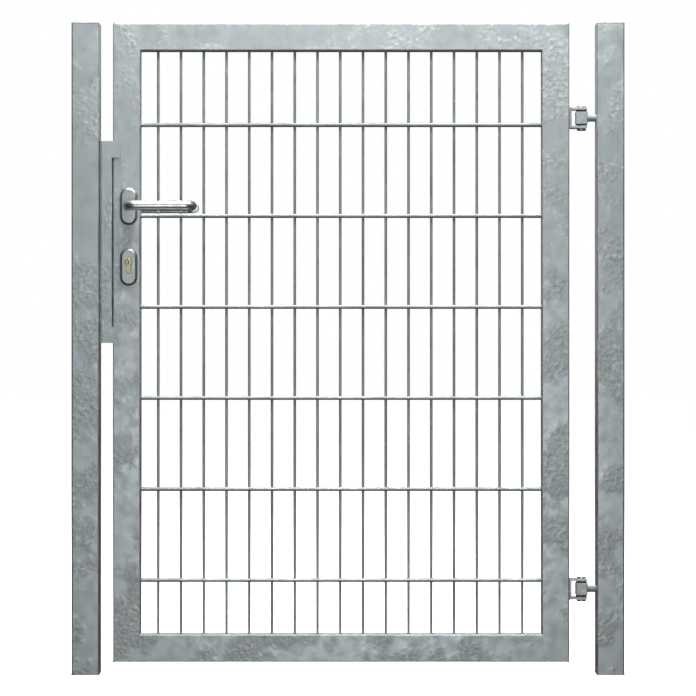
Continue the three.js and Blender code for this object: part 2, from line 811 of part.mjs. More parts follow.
/** The latch bolt: bevelled nose, tail with the follower's lug, and a post for the spring. */
function latchBolt() {
  const tip = leafLeft - latchThrow - fit;
  const noseEnd = tip + latchNose;
  const lugX = lockX + latchLugStart;
  const tailEnd = lugX + latchLugWidth;
  const up = (height) => leverHeight + height;
  const tailTop = up(latchTailBottom + latchTailHeight);
  const outline = new THREE.Shape();
  outline.moveTo(tip, up(0));
  outline.lineTo(noseEnd, up(0));
  outline.lineTo(noseEnd, up(latchTailBottom));
  outline.lineTo(lugX, up(latchTailBottom));
  outline.lineTo(lugX, up(latchTailBottom - latchLugDrop));
  outline.lineTo(tailEnd, up(latchTailBottom - latchLugDrop));
  outline.lineTo(tailEnd, tailTop);
  outline.lineTo(noseEnd, tailTop);
  outline.lineTo(noseEnd, up(springPostTop));
  outline.lineTo(noseEnd - springPostWidth, up(springPostTop));
  outline.lineTo(noseEnd - springPostWidth, up(latchHeight));
  outline.lineTo(tip, up(latchHeight));
  outline.closePath();
  const half = boltThickness / 2;
  const bevel = new THREE.Shape();
  bevel.moveTo(tip - overrun, -half - overrun);
  bevel.lineTo(leafLeft - fit, -half - overrun);
  bevel.lineTo(leafLeft - fit, -half);
  bevel.lineTo(tip, half - latchTip);
  bevel.lineTo(tip - overrun, half - latchTip);
  bevel.closePath();
  const wedge = extrudeAlong('z', bevel, up(-overrun), up(latchHeight + overrun));
  return carve(extrudeAlong('y', outline, -half, half), [wedge]);
}

/** The follower: a hub on the spindle with an arm that pulls the latch bolt back. */
function latchFollower() {
  const half = caseThickness / 2 - caseWall - 2 * fit;
  const arm = boxBetween(-followerArmWidth / 2, followerArmWidth / 2, -half, half, 0, followerArm);
  arm.rotateY(THREE.MathUtils.degToRad(-leverTurn / 2));
  arm.translate(lockX, 0, leverHeight);
  const hub = barAlong('y', followerRadius, lockX, leverHeight, -half, half, plugSides);
  return carve(hub, [spindleBar(half + overrun, fit)], [arm]);
}

/** The square spindle, or its hole where play is given. */
function spindleBar(reach, play) {
  const half = spindleSize / 2 + play;
  return boxBetween(
    lockX - half, lockX + half, -reach, reach, leverHeight - half, leverHeight + half,
  );
}

/** A helix along X about the line y = 0 at the given height. */
class Coil extends THREE.Curve {
  constructor(x0, x1, z) {
    super();
    this.x0 = x0;
    this.x1 = x1;
    this.z = z;
  }

  getPoint(t, target = new THREE.Vector3()) {
    const angle = t * springTurns * 2 * Math.PI;
    return target.set(
      THREE.MathUtils.lerp(this.x0, this.x1, t),
      springRadius * Math.cos(angle),
      this.z + springRadius * Math.sin(angle),
    );
  }
}

/** The compression spring that pushes the latch bolt out. */
function latchSpring() {
  const from = leafLeft - latchThrow - fit + latchNose + springWire;
  const to = caseRight - caseWall - springWire;
  const wire = new THREE.Shape();
  wire.absarc(0, 0, springWire / 2, 0, 2 * Math.PI, false);
  const extrudePath = new Coil(from, to, leverHeight + springAxis);
  return new THREE.ExtrudeGeometry(wire, {
    steps: springTurns * springSteps,
    curveSegments: wireSegments,
    extrudePath,
    bevelEnabled: false,
  });
}

/** The dead bolt, drawn in, with a notch for the cam. */
function deadBolt() {
  const half = boltThickness / 2;
  const x0 = leafLeft + fit;
  const shape = roundedRectangle(
    THREE.Shape, boltThickness, deadBoltHeight, deadBoltCorner, 0, deadBoltMiddle,
  );
  const x1 = x0 + deadBoltLength;
  const low = deadBoltMiddle - deadBoltHeight / 2;
  const notch = boxBetween(
    x1 - deadBoltNotch, x1 + overrun, -half - overrun, half + overrun,
    low - overrun, low + deadBoltNotchHeight,
  );
  return carve(extrudeAlong('x', shape, x0, x1), [notch]);
}

addPiece('latch_bolt', latchBolt(), 'brass');
addPiece('latch_follower', latchFollower(), 'steel');
addPiece('latch_spring', latchSpring(), 'steel');
addPiece('dead_bolt', deadBolt(), 'satin');

// Profile cylinder

/** The cylinder's body, with its bore, the slot for the cam and the hole for its screw. */
function cylinderBody() {
  const body = extrudeAlong('y', cylinderOutline(0), -cylinderHalf, cylinderHalf, roundSegments);
  const reach = cylinderHalf + overrun;
  const bore = barAlong('y', plugDiameter / 2 + fit, lockX, keyHeight, -reach, reach, plugSides);
  const slot = camWidth / 2 + 2 * fit;
  const wide = cylinderRound / 2 + overrun;
  const camSlot = boxBetween(
    lockX - wide, lockX + wide, -slot, slot, keyHeight - camReach - 2 * fit, keyHeight + wide,
  );
  const z = keyHeight - cylinderScrewDrop;
  const hole = barAlong('x', screwDiameter / 2 + fit, 0, z, lockX - wide, lockX + wide, screwSides);
  return carve(body, [bore, camSlot, hole]);
}

/** A plug of the cylinder, with its keyway, on the street side (-1) or the garden side (1). */
function cylinderPlug(side) {
  const near = side * (camWidth / 2 + fit);
  const far = side * cylinderHalf;
  const [from, to] = [near, far].sort((a, b) => a - b);
  const plug = barAlong('y', plugDiameter / 2, lockX, keyHeight, from, to, plugSides);
  const [inner, outer] = [far - side * keywayDepth, far + side * overrun].sort((a, b) => a - b);
  const half = keywayWidth / 2;
  const keyway = boxBetween(
    lockX - half, lockX + half, inner, outer,
    keyHeight - keywayHeight / 2, keyHeight + keywayHeight / 2,
  );
  return carve(plug, [keyway]);
}

/** The cam between the plugs, its finger down. */
function cylinderCam() {
  const half = camWidth / 2;
  const hub = barAlong('y', camHub, lockX, keyHeight, -half, half, plugSides);
  const side = camFinger / 2;
  const low = keyHeight - camReach;
  return carve(hub, [], [boxBetween(lockX - side, lockX + side, -half, half, low, keyHeight)]);
}

addPiece('cylinder_body', cylinderBody(), 'brass');
addPiece('front_cylinder_plug', cylinderPlug(-1), 'brass');
addPiece('rear_cylinder_plug', cylinderPlug(1), 'brass');
addPiece('cylinder_cam', cylinderCam(), 'steel');
addPiece('cylinder_screw', screw(keyHeight - cylinderScrewDrop, lockX + cylinderStem), 'steel');

// Rosettes

/** An oval rosette with a bevelled rim on the front (-1) or back (1) of the leaf, cut by holes. */
function rosette(side, middle, holes) {
  const oval = roundedRectangle(
    THREE.Shape, rosetteWidth, rosetteHeight, rosetteWidth / 2, 0, 0,
  );
  const plate = new THREE.ExtrudeGeometry(oval, {
    depth: 2 * (rosetteThickness - rosetteBevelDepth),
    curveSegments: roundSegments,
    bevelThickness: rosetteBevelDepth,
    bevelSize: rosetteBevel,
    bevelOffset: -rosetteBevel,
    bevelSegments: 1,
  });
  plate.translate(0, 0, rosetteBevelDepth - rosetteThickness);
  plate.rotateX(Math.PI / 2);
  const back = leafFront - fit;
  plate.translate(lockX, side * -back, middle);
  const far = side * -back - side * 2 * rosetteThickness;
  const [from, to] = [side * -back, far].sort((a, b) => a - b);
  const wide = rosetteWidth;
  const high = rosetteHeight;
  const away = boxBetween(lockX - wide, lockX + wide, from, to, middle - high, middle + high);
  const studs = [-studOffset, studOffset].map((offset) => {
    const end = side * (frameDepth / 2 + 2 * fit + studDepth);
    const [y0, y1] = [0, end].sort((a, b) => a - b);
    return barAlong('y', studDiameter / 2 + fit, lockX, middle + offset, y0, y1, rodSides);
  });
  return carve(plate, [away, ...studs, ...holes]);
}

for (const [place, side] of [['front', -1], ['rear', 1]]) {
  const reach = frameDepth / 2 + 2 * rosetteThickness;
  const neck = barAlong('y', (neckDiameter + neckPlay) / 2, lockX, leverHeight, -reach, reach);
  const profile = extrudeAlong('y', cylinderOutline(fit), -reach, reach, roundSegments);
  addPiece(`${place}_lever_rosette`, rosette(side, leverHeight, [neck]), 'zinc');
  addPiece(`${place}_cylinder_rosette`, rosette(side, cylinderRosetteHeight, [profile]), 'zinc');
}

// Levers

/** A lever's middle line: out from the rosette, along the grip, and back towards the leaf. */
class LeverPath extends THREE.Curve {
  constructor(side) {
    super();
    const grip = frameDepth / 2 + gripDistance;
    const start = frameDepth / 2 + rosetteThickness + 2 * fit;
    const tip = gripLength - gripDiameter / 2;
    this.side = side;
    this.start = start;
    this.grip = grip;
    this.tip = tip;
    this.neck = grip - gripBend - start;
    this.bend = (Math.PI / 2) * gripBend;
    this.bar = tip - 2 * gripBend;
    this.back = gripDistance - gripBend - gripReturn;
    this.total = this.neck + 2 * this.bend + this.bar + this.back;
  }

  /** The place after a distance, as a step along the grip and a distance from the leaf's middle. */
  place(distance) {
    const { grip, tip, neck, bend, bar } = this;
    if (distance < neck) {
      return [0, this.start + distance];
    }
    const first = distance - neck;
    if (first < bend) {
      const angle = first / gripBend;
      const x = gripBend * (1 - Math.cos(angle));
      return [x, grip - gripBend * (1 - Math.sin(angle))];
    }
    const along = first - bend;
    if (along < bar) {
      return [gripBend + along, grip];
    }
    const second = along - bar;
    if (second < bend) {
      const angle = second / gripBend;
      const x = tip - gripBend * (1 - Math.sin(angle));
      return [x, grip - gripBend * (1 - Math.cos(angle))];
    }
    return [tip, grip - gripBend - (second - bend)];
  }

  getPoint(t, target = new THREE.Vector3()) {
    const [x, y] = this.place(t * this.total);
    return target.set(lockX + x, this.side * y, leverHeight);
  }
}

/** The place of a lever's grub screw along its neck, from the leaf's middle. */
const grubDistance = frameDepth / 2 + rosetteThickness + grubInset;

/** A lever on the street side (-1) or the garden side (1). */
function lever(side) {
  const section = new THREE.Shape();
  section.absarc(0, 0, gripDiameter / 2, 0, 2 * Math.PI, false);
  const extrudePath = new LeverPath(side);
  const tube = new THREE.ExtrudeGeometry(section, {
    steps: gripSteps,
    curveSegments: gripSegments,
    extrudePath,
    bevelEnabled: false,
  });
  const outer = side * (frameDepth / 2 + rosetteThickness + neckDepth);
  const inner = side * (frameDepth / 2 + rosetteThickness - neckDepth);
  const [y0, y1] = [outer, inner].sort((a, b) => a - b);
  const stub = barAlong('y', neckDiameter / 2, lockX, leverHeight, y0, y1);
  const radius = grubDiameter / 2 + fit;
  const y = side * grubDistance;
  const hole = barAlong('z', radius, lockX, y, leverHeight - gripDiameter, leverHeight, screwSides);
  return carve(tube, [spindleBar(spindleHalf + fit, fit), hole], [stub]);
}

/** The grub screw that holds a lever on the spindle, from below. */
function grubScrew(side) {
  const y = side * grubDistance;
  const low = leverHeight - gripDiameter / 2 + fit;
  const high = leverHeight - spindleSize / 2 - fit;
  const body = barAlong('z', grubDiameter / 2, lockX, y, low, high, screwSides);
  return carve(body, [hexAlong('z', grubSocket, lockX, y, low - overrun, (low + high) / 2)]);
}

addPiece('lever_spindle', spindleBar(spindleHalf, 0), 'steel');
for (const [place, side] of [['front', -1], ['rear', 1]]) {
  addPiece(`${place}_lever`, lever(side), 'satin');
  addPiece(`${place}_grub_screw`, grubScrew(side), 'steel');
}

export default gate;
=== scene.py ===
"""Studio look of a galvanised garden gate, built around its CAD frame.

Metres. X runs along the fence from the lock side to the hinge side, +Y is away from the street
and +Z is up, with the origin on the ground midway between the outer faces of the posts.
"""

from __future__ import annotations

import logging
import math
from dataclasses import dataclass, field
from enum import Enum
from functools import cached_property

import bmesh
import bpy
import numpy as np
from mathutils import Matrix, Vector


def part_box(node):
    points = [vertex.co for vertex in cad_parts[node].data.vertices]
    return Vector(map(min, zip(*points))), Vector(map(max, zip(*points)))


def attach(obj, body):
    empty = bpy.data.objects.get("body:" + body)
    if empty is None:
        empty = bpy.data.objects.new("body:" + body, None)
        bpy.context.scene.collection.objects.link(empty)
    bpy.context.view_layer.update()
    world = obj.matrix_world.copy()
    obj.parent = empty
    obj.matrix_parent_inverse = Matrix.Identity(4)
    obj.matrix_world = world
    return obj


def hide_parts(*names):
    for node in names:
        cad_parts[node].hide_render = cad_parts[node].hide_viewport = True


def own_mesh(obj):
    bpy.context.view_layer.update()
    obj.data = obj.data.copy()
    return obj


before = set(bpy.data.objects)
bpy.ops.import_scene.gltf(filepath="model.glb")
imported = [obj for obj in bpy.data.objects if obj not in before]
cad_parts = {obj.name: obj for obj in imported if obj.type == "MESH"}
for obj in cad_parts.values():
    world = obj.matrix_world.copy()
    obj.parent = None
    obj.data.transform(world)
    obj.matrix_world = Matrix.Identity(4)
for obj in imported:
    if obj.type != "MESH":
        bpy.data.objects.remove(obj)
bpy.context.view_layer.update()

Array = np.ndarray
Value = "float | tuple | Term | bpy.types.NodeSocket"
log = logging.getLogger("garden_gate")


class Body(Enum):
    """The moving bodies that a piece can ride on."""

    POSTS = "posts"
    LEAF = "leaf"
    LEVERS = "lever_set"
    LATCH = "latch"
    KEY = "key_plug"
    BOLT = "bolt"


class Slot(Enum):
    """The material slots that a finish can belong to."""

    ZINC = "galvanised_steel"
    SATIN = "satin_steel"
    PLATED = "plated_steel"
    BRASS = "brass"
    CAP = "cap_plastic"
    RUBBER = "stop_rubber"
    NYLON = "bush_nylon"


class Facing(Enum):
    """Where the u, v and w of a shape point; each is right-handed."""

    UP = ((1, 0, 0), (0, 1, 0), (0, 0, 1))
    DOWN = ((1, 0, 0), (0, -1, 0), (0, 0, -1))
    STREET = ((1, 0, 0), (0, 0, 1), (0, -1, 0))
    GARDEN = ((-1, 0, 0), (0, 0, 1), (0, 1, 0))
    HINGE_SIDE = ((0, 1, 0), (0, 0, 1), (1, 0, 0))
    LOCK_SIDE = ((0, -1, 0), (0, 0, 1), (-1, 0, 0))


# ---------------------------------------------------------------------------------------------
# Surfaces
# ---------------------------------------------------------------------------------------------


def grid_quads(rows: int, columns: int, closed: bool) -> Array:
    """Quads between neighbouring loops of points.

    Quad (r, c) joins points c and c + 1 of loop r to those of loop r + 1, and each loop closes
    on itself. The quads face outwards where the loops turn counter-clockwise about the way
    in which they are stacked.

    Args:
        rows: how many loops there are.
        columns: how many points each loop has.
        closed: whether the last loop joins the first.

    Returns:
        The point numbers of each quad.
    """
    row = np.arange(rows if closed else rows - 1)[:, None]
    column = np.arange(columns)[None, :]
    after = (row + 1) % rows
    beside = (column + 1) % columns
    corners = (
        row * columns + column,
        row * columns + beside,
        after * columns + beside,
        after * columns + column,
    )
    return np.stack([np.broadcast_to(c, (len(row), columns)) for c in corners], -1).reshape(-1, 4)


@dataclass(frozen=True)
class Surface:
    """A closed surface: its points, and its faces in groups with the same number of corners."""

    points: Array
    faces: tuple[Array, ...]

    @staticmethod
    def loft(loops: Array, closed: bool = False) -> Surface:
        """Skins a stack of loops, and caps both ends with one flat face where it isn't closed.

        Args:
            loops: an array of loops by points by 3, counter-clockwise about the stacking way.
            closed: whether the stack runs back into its first loop.

        Returns:
            The surface.
        """
        rows, columns = loops.shape[:2]
        faces = [grid_quads(rows, columns, closed)]
        if not closed:
            first = np.arange(columns)
            faces.append(np.stack([first[::-1], first + (rows - 1) * columns]))
        return Surface(loops.reshape(-1, 3), tuple(faces))

    @staticmethod
    def joined(parts: list[Surface]) -> Surface:
        """Puts several surfaces into one.

        Args:
            parts: the surfaces.

        Returns:
            One surface with every part's points and faces.
        """
        starts = np.cumsum([0] + [len(part.points) for part in parts[:-1]])
        faces = [group + start for part, start in zip(parts, starts) for group in part.faces]
        return Surface(np.concatenate([part.points for part in parts]), tuple(faces))

    def repeated(self, offsets: Array) -> Surface:
        """Repeats the surface: each point is added to each offset.

        Args:
            offsets: an array of copies by 3.

        Returns:
            One surface with all the copies.
        """
        points = (offsets[:, None, :] + self.points[None, :, :]).reshape(-1, 3)
        starts = (np.arange(len(offsets)) * len(self.points))[:, None, None]
        return Surface(points, tuple(
            (group[None, :, :] + starts).reshape(-1, group.shape[1]) for group in self.faces
        ))

    def placed(self, facing: Facing, origin: Array | tuple[float, float, float]) -> Surface:
        """Turns u, v, w to the axes of a facing, then moves the surface to its origin."""
        return Surface(self.points @ np.array(facing.value, float) + np.array(origin), self.faces)

    def mesh(self, name: str) -> bpy.types.Mesh:
        """Writes the surface into a mesh.

        Args:
            name: the mesh's name.

        Returns:
            The mesh.
        """
        made = bpy.data.meshes.new(name)
        corners = np.concatenate([group.ravel() for group in self.faces]).astype(np.int32)
        sizes = np.concatenate([np.full(len(group), group.shape[1]) for group in self.faces])
        starts = np.concatenate([[0], np.cumsum(sizes)[:-1]]).astype(np.int32)
        made.vertices.add(len(self.points))
        made.vertices.foreach_set("co", self.points.astype(np.float32).ravel())
        made.loops.add(len(corners))
        made.loops.foreach_set("vertex_index", corners)
        made.polygons.add(len(sizes))
        made.polygons.foreach_set("loop_start", starts)
        made.update(calc_edges=True)
        made.validate()
        return made


def turn(count: int) -> Array:
    """Angles of a full turn in equal steps, starting half a step in."""
    return (np.arange(count) + 0.5) * (2 * math.pi / count)


def rays(angle: Array) -> Array:
    """Unit vectors in u and v at the given angles."""
    return np.stack([np.cos(angle), np.sin(angle)], -1)


def turned(radius: Array, height: Array, angle: Array) -> Array:
    """Loops about w, of points (radius cos a, radius sin a, height).

    Args:
        radius: distance from the axis, loops by points or anything that stretches to it.
        height: height along w, likewise.
        angle: angle of each point, likewise.

    Returns:
        An array of loops by points by 3.
    """
    radius, height, angle = np.broadcast_arrays(radius, height, angle)
    return np.stack([radius * np.cos(angle), radius * np.sin(angle), height], -1)


def hexagon(angle: Array, flats: float) -> Array:
    """Distance from a hexagon's middle to its outline, along rays at the given angles.

    It is half the flats over the cosine of the angle from the nearest flat's middle.

    Args:
        angle: the rays' angles.
        flats: distance across the flats.

    Returns:
        The distances.
    """
    sector = math.pi / 3
    return flats / 2 / np.cos(np.mod(angle, sector) - sector / 2)


def rounded_rectangle(width: float, height: float, corner: float, steps: int = 6) -> Array:
    """A rectangle with a quarter circle at each corner.

    Point (k, j) is the centre of corner k plus the radius at an angle of 90 k + 90 j / steps
    degrees, counter-clockwise from the corner at +u, +v.

    Args:
        width: size along u.
        height: size along v.
        corner: radius of the corners.
        steps: edges in each corner.

    Returns:
        The outline's points.
    """
    signs = np.array([(1, 1), (-1, 1), (-1, -1), (1, -1)])
    centres = signs * (np.array([width, height]) / 2 - corner)
    angles = (np.arange(4)[:, None] + np.linspace(0, 1, steps + 1)[None, :]) * (math.pi / 2)
    return (centres[:, None, :] + corner * rays(angles)).reshape(-1, 2)


def inset(outline: Array, amount: float) -> Array:
    """Moves an outline inwards by the same distance all along.

    Each point moves against the sum of the unit normals of its two edges, divided by one plus
    their dot product, times the amount.

    Args:
        outline: counter-clockwise points.
        amount: how far each edge moves.

    Returns:
        The smaller outline, with as many points.
    """
    edges = np.roll(outline, -1, axis=0) - outline
    edges = edges / np.linalg.norm(edges, axis=1, keepdims=True)
    after = np.stack([edges[:, 1], -edges[:, 0]], -1)
    before = np.roll(after, 1, axis=0)
    share = 1 + np.sum(before * after, axis=1, keepdims=True)
    return outline - amount * (before + after) / share


def level(outline: Array, height: float) -> Array:
    """An outline lifted to a height along w."""
    return np.column_stack([outline, np.full(len(outline), height)])


def edge_profile(low: float, high: float, edge: float, steps: int = 3) -> Array:
    """Inset and height up the side of a plate with a quarter circle along both edges.

    Inset is edge (1 - sin a) and height is edge (1 - cos a) from each end, a from 0 to 90
    degrees.

    Args:
        low: height of the lower face.
        high: height of the upper face.
        edge: radius of the edges.
        steps: strips in each rounded edge.

    Returns:
        Rows of inset and height, from the lower face to the upper one.
    """
    angle = np.linspace(0, math.pi / 2, steps + 1)
    away = edge * (1 - np.sin(angle))
    rise = edge * (1 - np.cos(angle))
    return np.column_stack([
        np.concatenate([away, away[::-1]]),
        np.concatenate([low + rise, (high - rise)[::-1]]),
    ])


def soft_prism(outline: Array, low: float, high: float, edge: float) -> Surface:
    """A plate of constant outline along w with rounded edges round both faces.

    Args:
        outline: counter-clockwise outline in u and v.
        low: height of the lower face.
        high: height of the upper face.
        edge: radius of the edges.

    Returns:
        The closed surface.
    """
    profile = edge_profile(low, high, edge)
    return Surface.loft(np.stack([level(inset(outline, away), at) for away, at in profile]))


def lathe(profile: Array, sides: int = 48, closed: bool = False) -> Surface:
    """Turns a profile about w: a point at radius r and height h becomes (r cos a, r sin a, h).

    Args:
        profile: rows of radius and height, going up the outside.
        sides: edges round the turn.
        closed: whether the profile is a closed section, as of a ring.

    Returns:
        The surface.
    """
    return Surface.loft(turned(profile[:, :1], profile[:, 1:], turn(sides)), closed)


def ring_profile(inner: float, outer: float, low: float, high: float, edge: float) -> Array:
    """The section of a ring: a rectangle of radius and height with small round corners."""
    section = rounded_rectangle(outer - inner, high - low, edge, 3)
    return section + np.array([(inner + outer) / 2, (low + high) / 2])


BEAD_SIDES = 10
RIPPLE = 0.1
RIPPLES = (23, 37)


def bead(path: Array, outward: Array, across: Array, wide: float, proud: float) -> Surface:
    """A weld bead along a closed path that runs counter-clockwise about the way across.

    Point (s, a) is path(s), plus proud times a ripple times cos a along outward, less wide
    times sin a along across. The ripple is one plus a tenth of two sines of the path's phase.

    Args:
        path: an array of points by 3.
        outward: the way out of the joint at each point.
        across: the way across the joint, one unit vector.
        wide: half the bead's width.
        proud: half the bead's thickness.

    Returns:
        The closed tube.
    """
    phase = np.arange(len(path)) * (2 * math.pi / len(path))
    short, long = RIPPLES
    ripple = 1 + RIPPLE * (np.sin(phase * short) + np.sin(phase * long + 1))
    angle = turn(BEAD_SIDES)
    up = (proud * ripple)[:, None, None] * np.cos(angle)[None, :, None] * outward[:, None, :]
    side = wide * np.sin(angle)[None, :, None] * across
    return Surface.loft(path[:, None, :] + up - side, closed=True)


def dense(outline: Array, spacing: float) -> Array:
    """Adds evenly spaced points along an outline's edges, keeping its own.

    Args:
        outline: closed outline of points by 2.
        spacing: the longest edge that is left.

    Returns:
        The outline with more points.
    """
    ahead = np.roll(outline, -1, axis=0)
    length = np.linalg.norm(ahead - outline, axis=1)
    counts = np.maximum(1, np.ceil(length / spacing)).astype(int)
    start = np.repeat(np.arange(len(outline)), counts)
    share = (np.arange(len(start)) - np.repeat(np.cumsum(counts) - counts, counts)) / counts[start]
    return outline[start] + share[:, None] * (ahead - outline)[start]


def outline_normals(outline: Array) -> Array:
    """Unit normals of an outline at its points, from the points beside them.

    Args:
        outline: counter-clockwise points.

    Returns:
        One unit vector for each point.
    """
    along = np.roll(outline, -1, axis=0) - np.roll(outline, 1, axis=0)
    normals = np.stack([along[:, 1], -along[:, 0]], -1)
    return normals / np.linalg.norm(normals, axis=1, keepdims=True)


def reach(angle: Array, half_width: float, low: float, high: float) -> Array:
    """Distance from the origin to a capsule's outline, along rays at the given angles.

    The capsule is a strip of the half width between two circle centres at v = low and v = high.
    A ray meets the side at half_width / |cos a|; past either centre it meets the circle at
    c sin a + root of (c sin a) squared - (c squared - radius squared).

    Args:
        angle: the rays' angles.
        half_width: half the strip's width and the circles' radius.
        low: place of the lower centre.
        high: place of the upper centre.

    Returns:
        The distances; nought where a ray misses.
    """
    across = np.maximum(np.abs(np.cos(angle)), 1e-9)
    side = half_width / across
    at = side * np.sin(angle)
    centre = np.clip(at, low, high)
    along = centre * np.sin(angle)
    left = along**2 - (centre**2 - half_width**2)
    ends = along + np.sqrt(np.maximum(left, 0))
    return np.where(left < 0, 0, np.where((at >= low) & (at <= high), side, ends))


# ---------------------------------------------------------------------------------------------
# Shaders
# ---------------------------------------------------------------------------------------------


class Term:
    """A shader value that can stand in a Python expression; each operator adds a Math node."""

    def __init__(self, graph: Graph, socket: bpy.types.NodeSocket) -> None:
        """Keeps the graph and the output socket that the value comes from."""
        self.graph = graph
        self.socket = socket

    def _math(self, operation: str, first: Value, second: Value) -> Term:
        """Adds one Math node and returns its result."""
        node = self.graph.node("ShaderNodeMath", {0: first, 1: second}, operation=operation)
        return Term(self.graph, node.outputs[0])

    def __add__(self, other: Value) -> Term:
        """This plus other."""
        return self._math("ADD", self, other)

    def __radd__(self, other: Value) -> Term:
        """Other plus this."""
        return self._math("ADD", other, self)

    def __sub__(self, other: Value) -> Term:
        """This minus other."""
        return self._math("SUBTRACT", self, other)

    def __rsub__(self, other: Value) -> Term:
        """Other minus this."""
        return self._math("SUBTRACT", other, self)

    def __mul__(self, other: Value) -> Term:
        """This times other."""
        return self._math("MULTIPLY", self, other)

    def __rmul__(self, other: Value) -> Term:
        """Other times this."""
        return self._math("MULTIPLY", other, self)


class Graph:
    """A node tree and the few kinds of node that the finishes and the background use."""

    def __init__(self, owner: bpy.types.Material | bpy.types.World) -> None:
        """Starts the owner's node tree afresh."""
        owner.use_nodes = True
        self.owner = owner
        self.tree = owner.node_tree
        self.tree.nodes.clear()

    def node(self, kind: str, inputs: dict, **settings: object) -> bpy.types.Node:
        """Adds a node.

        Args:
            kind: the node's type.
            inputs: values, terms or output sockets by socket name or number.
            **settings: properties that are set first, such as a Math node's operation.

        Returns:
            The node.
        """
        made = self.tree.nodes.new(kind)
        for key, value in settings.items():
            setattr(made, key, value)
        for key, value in inputs.items():
            source = value.socket if isinstance(value, Term) else value
            if isinstance(source, bpy.types.NodeSocket):
                self.tree.links.new(source, made.inputs[key])
            else:
                made.inputs[key].default_value = source
        return made

    @cached_property
    def place(self) -> Term:
        """The object coordinates."""
        return Term(self, self.node("ShaderNodeTexCoord", {}).outputs["Object"])

    def stretched(self, scale: tuple[float, float, float], centre: tuple = (0, 0, 0)) -> Term:
        """The object coordinates less a centre, times a scale along each axis.

        Args:
            scale: the scale along each axis.
            centre: the point that stays at nought.

        Returns:
            The stretched coordinates.
        """
        shift = tuple(-c * s for c, s in zip(centre, scale))
        inputs = {0: self.place, 1: shift, 3: scale}
        return Term(self, self.node("ShaderNodeMapping", inputs, vector_type="POINT").outputs[0])

    def noise(self, size: float, detail: float = 2, where: Term | None = None) -> Term:
        """Smooth noise from 0 to 1 with patches of about the given size."""
        inputs = {"Vector": where or self.place, "Scale": 1 / size, "Detail": detail}
        return Term(self, self.node("ShaderNodeTexNoise", inputs).outputs[0])

    def cells(self, size: float) -> Term:
        """A random value from 0 to 1 for each crystal-like cell.

        Args:
            size: about how wide a cell is.

        Returns:
            The value.
        """
        inputs = {"Vector": self.place, "Scale": 1 / size}
        cell = self.node("ShaderNodeTexVoronoi", inputs, feature="F1")
        parts = self.node("ShaderNodeSeparateColor", {0: cell.outputs["Color"]})
        return Term(self, parts.outputs[0])

    def step(self, value: Term, limits: tuple[float, float]) -> Term:
        """A smooth step.

        Args:
            value: what is stepped.
            limits: the step is 0 below the first of them and 1 above the second.

        Returns:
            The step.
        """
        inputs = {"Value": value, "From Min": limits[0], "From Max": limits[1]}
        node = self.node("ShaderNodeMapRange", inputs, interpolation_type="SMOOTHSTEP")
        return Term(self, node.outputs[0])

    def mix(self, share: Value, first: Value, second: Value) -> Term:
        """Mixes two colours.

        Args:
            share: how much of the second there is.
            first: the colour at nought.
            second: the colour at one.

        Returns:
            The mixed colour.
        """
        inputs = {0: share, 6: first, 7: second}
        node = self.node("ShaderNodeMix", inputs, data_type="RGBA", clamp_factor=True)
        return Term(self, node.outputs[2])

    def bump(self, height: Term) -> Term:
        """A normal bent by a height in metres."""
        node = self.node("ShaderNodeBump", {"Strength": 1, "Distance": 1, "Height": height})
        return Term(self, node.outputs[0])

    def surface(self, **sockets: Value) -> bpy.types.Material:
        """Adds the surface shader and the output.

        Args:
            **sockets: the shader's inputs, with underscores for the spaces.

        Returns:
            The material.
        """
        inputs = {name.replace("_", " "): value for name, value in sockets.items()}
        shader = self.node("ShaderNodeBsdfPrincipled", inputs)
        self.node("ShaderNodeOutputMaterial", {"Surface": shader.outputs[0]})
        return self.owner


def grey(value: float) -> tuple[float, float, float, float]:
    """A neutral colour."""
    return (value, value, value, 1)


@dataclass(frozen=True)
class Finish:
    """A finish: its material's name and the material slot that it belongs to."""

    name: str
    slot: Slot | None

    def graph(self) -> Graph:
        """The empty node tree of a material with the finish's name."""
        return Graph(bpy.data.materials.new(self.name))

    def build(self) -> bpy.types.Material:
        """Makes the material."""
        raise NotImplementedError


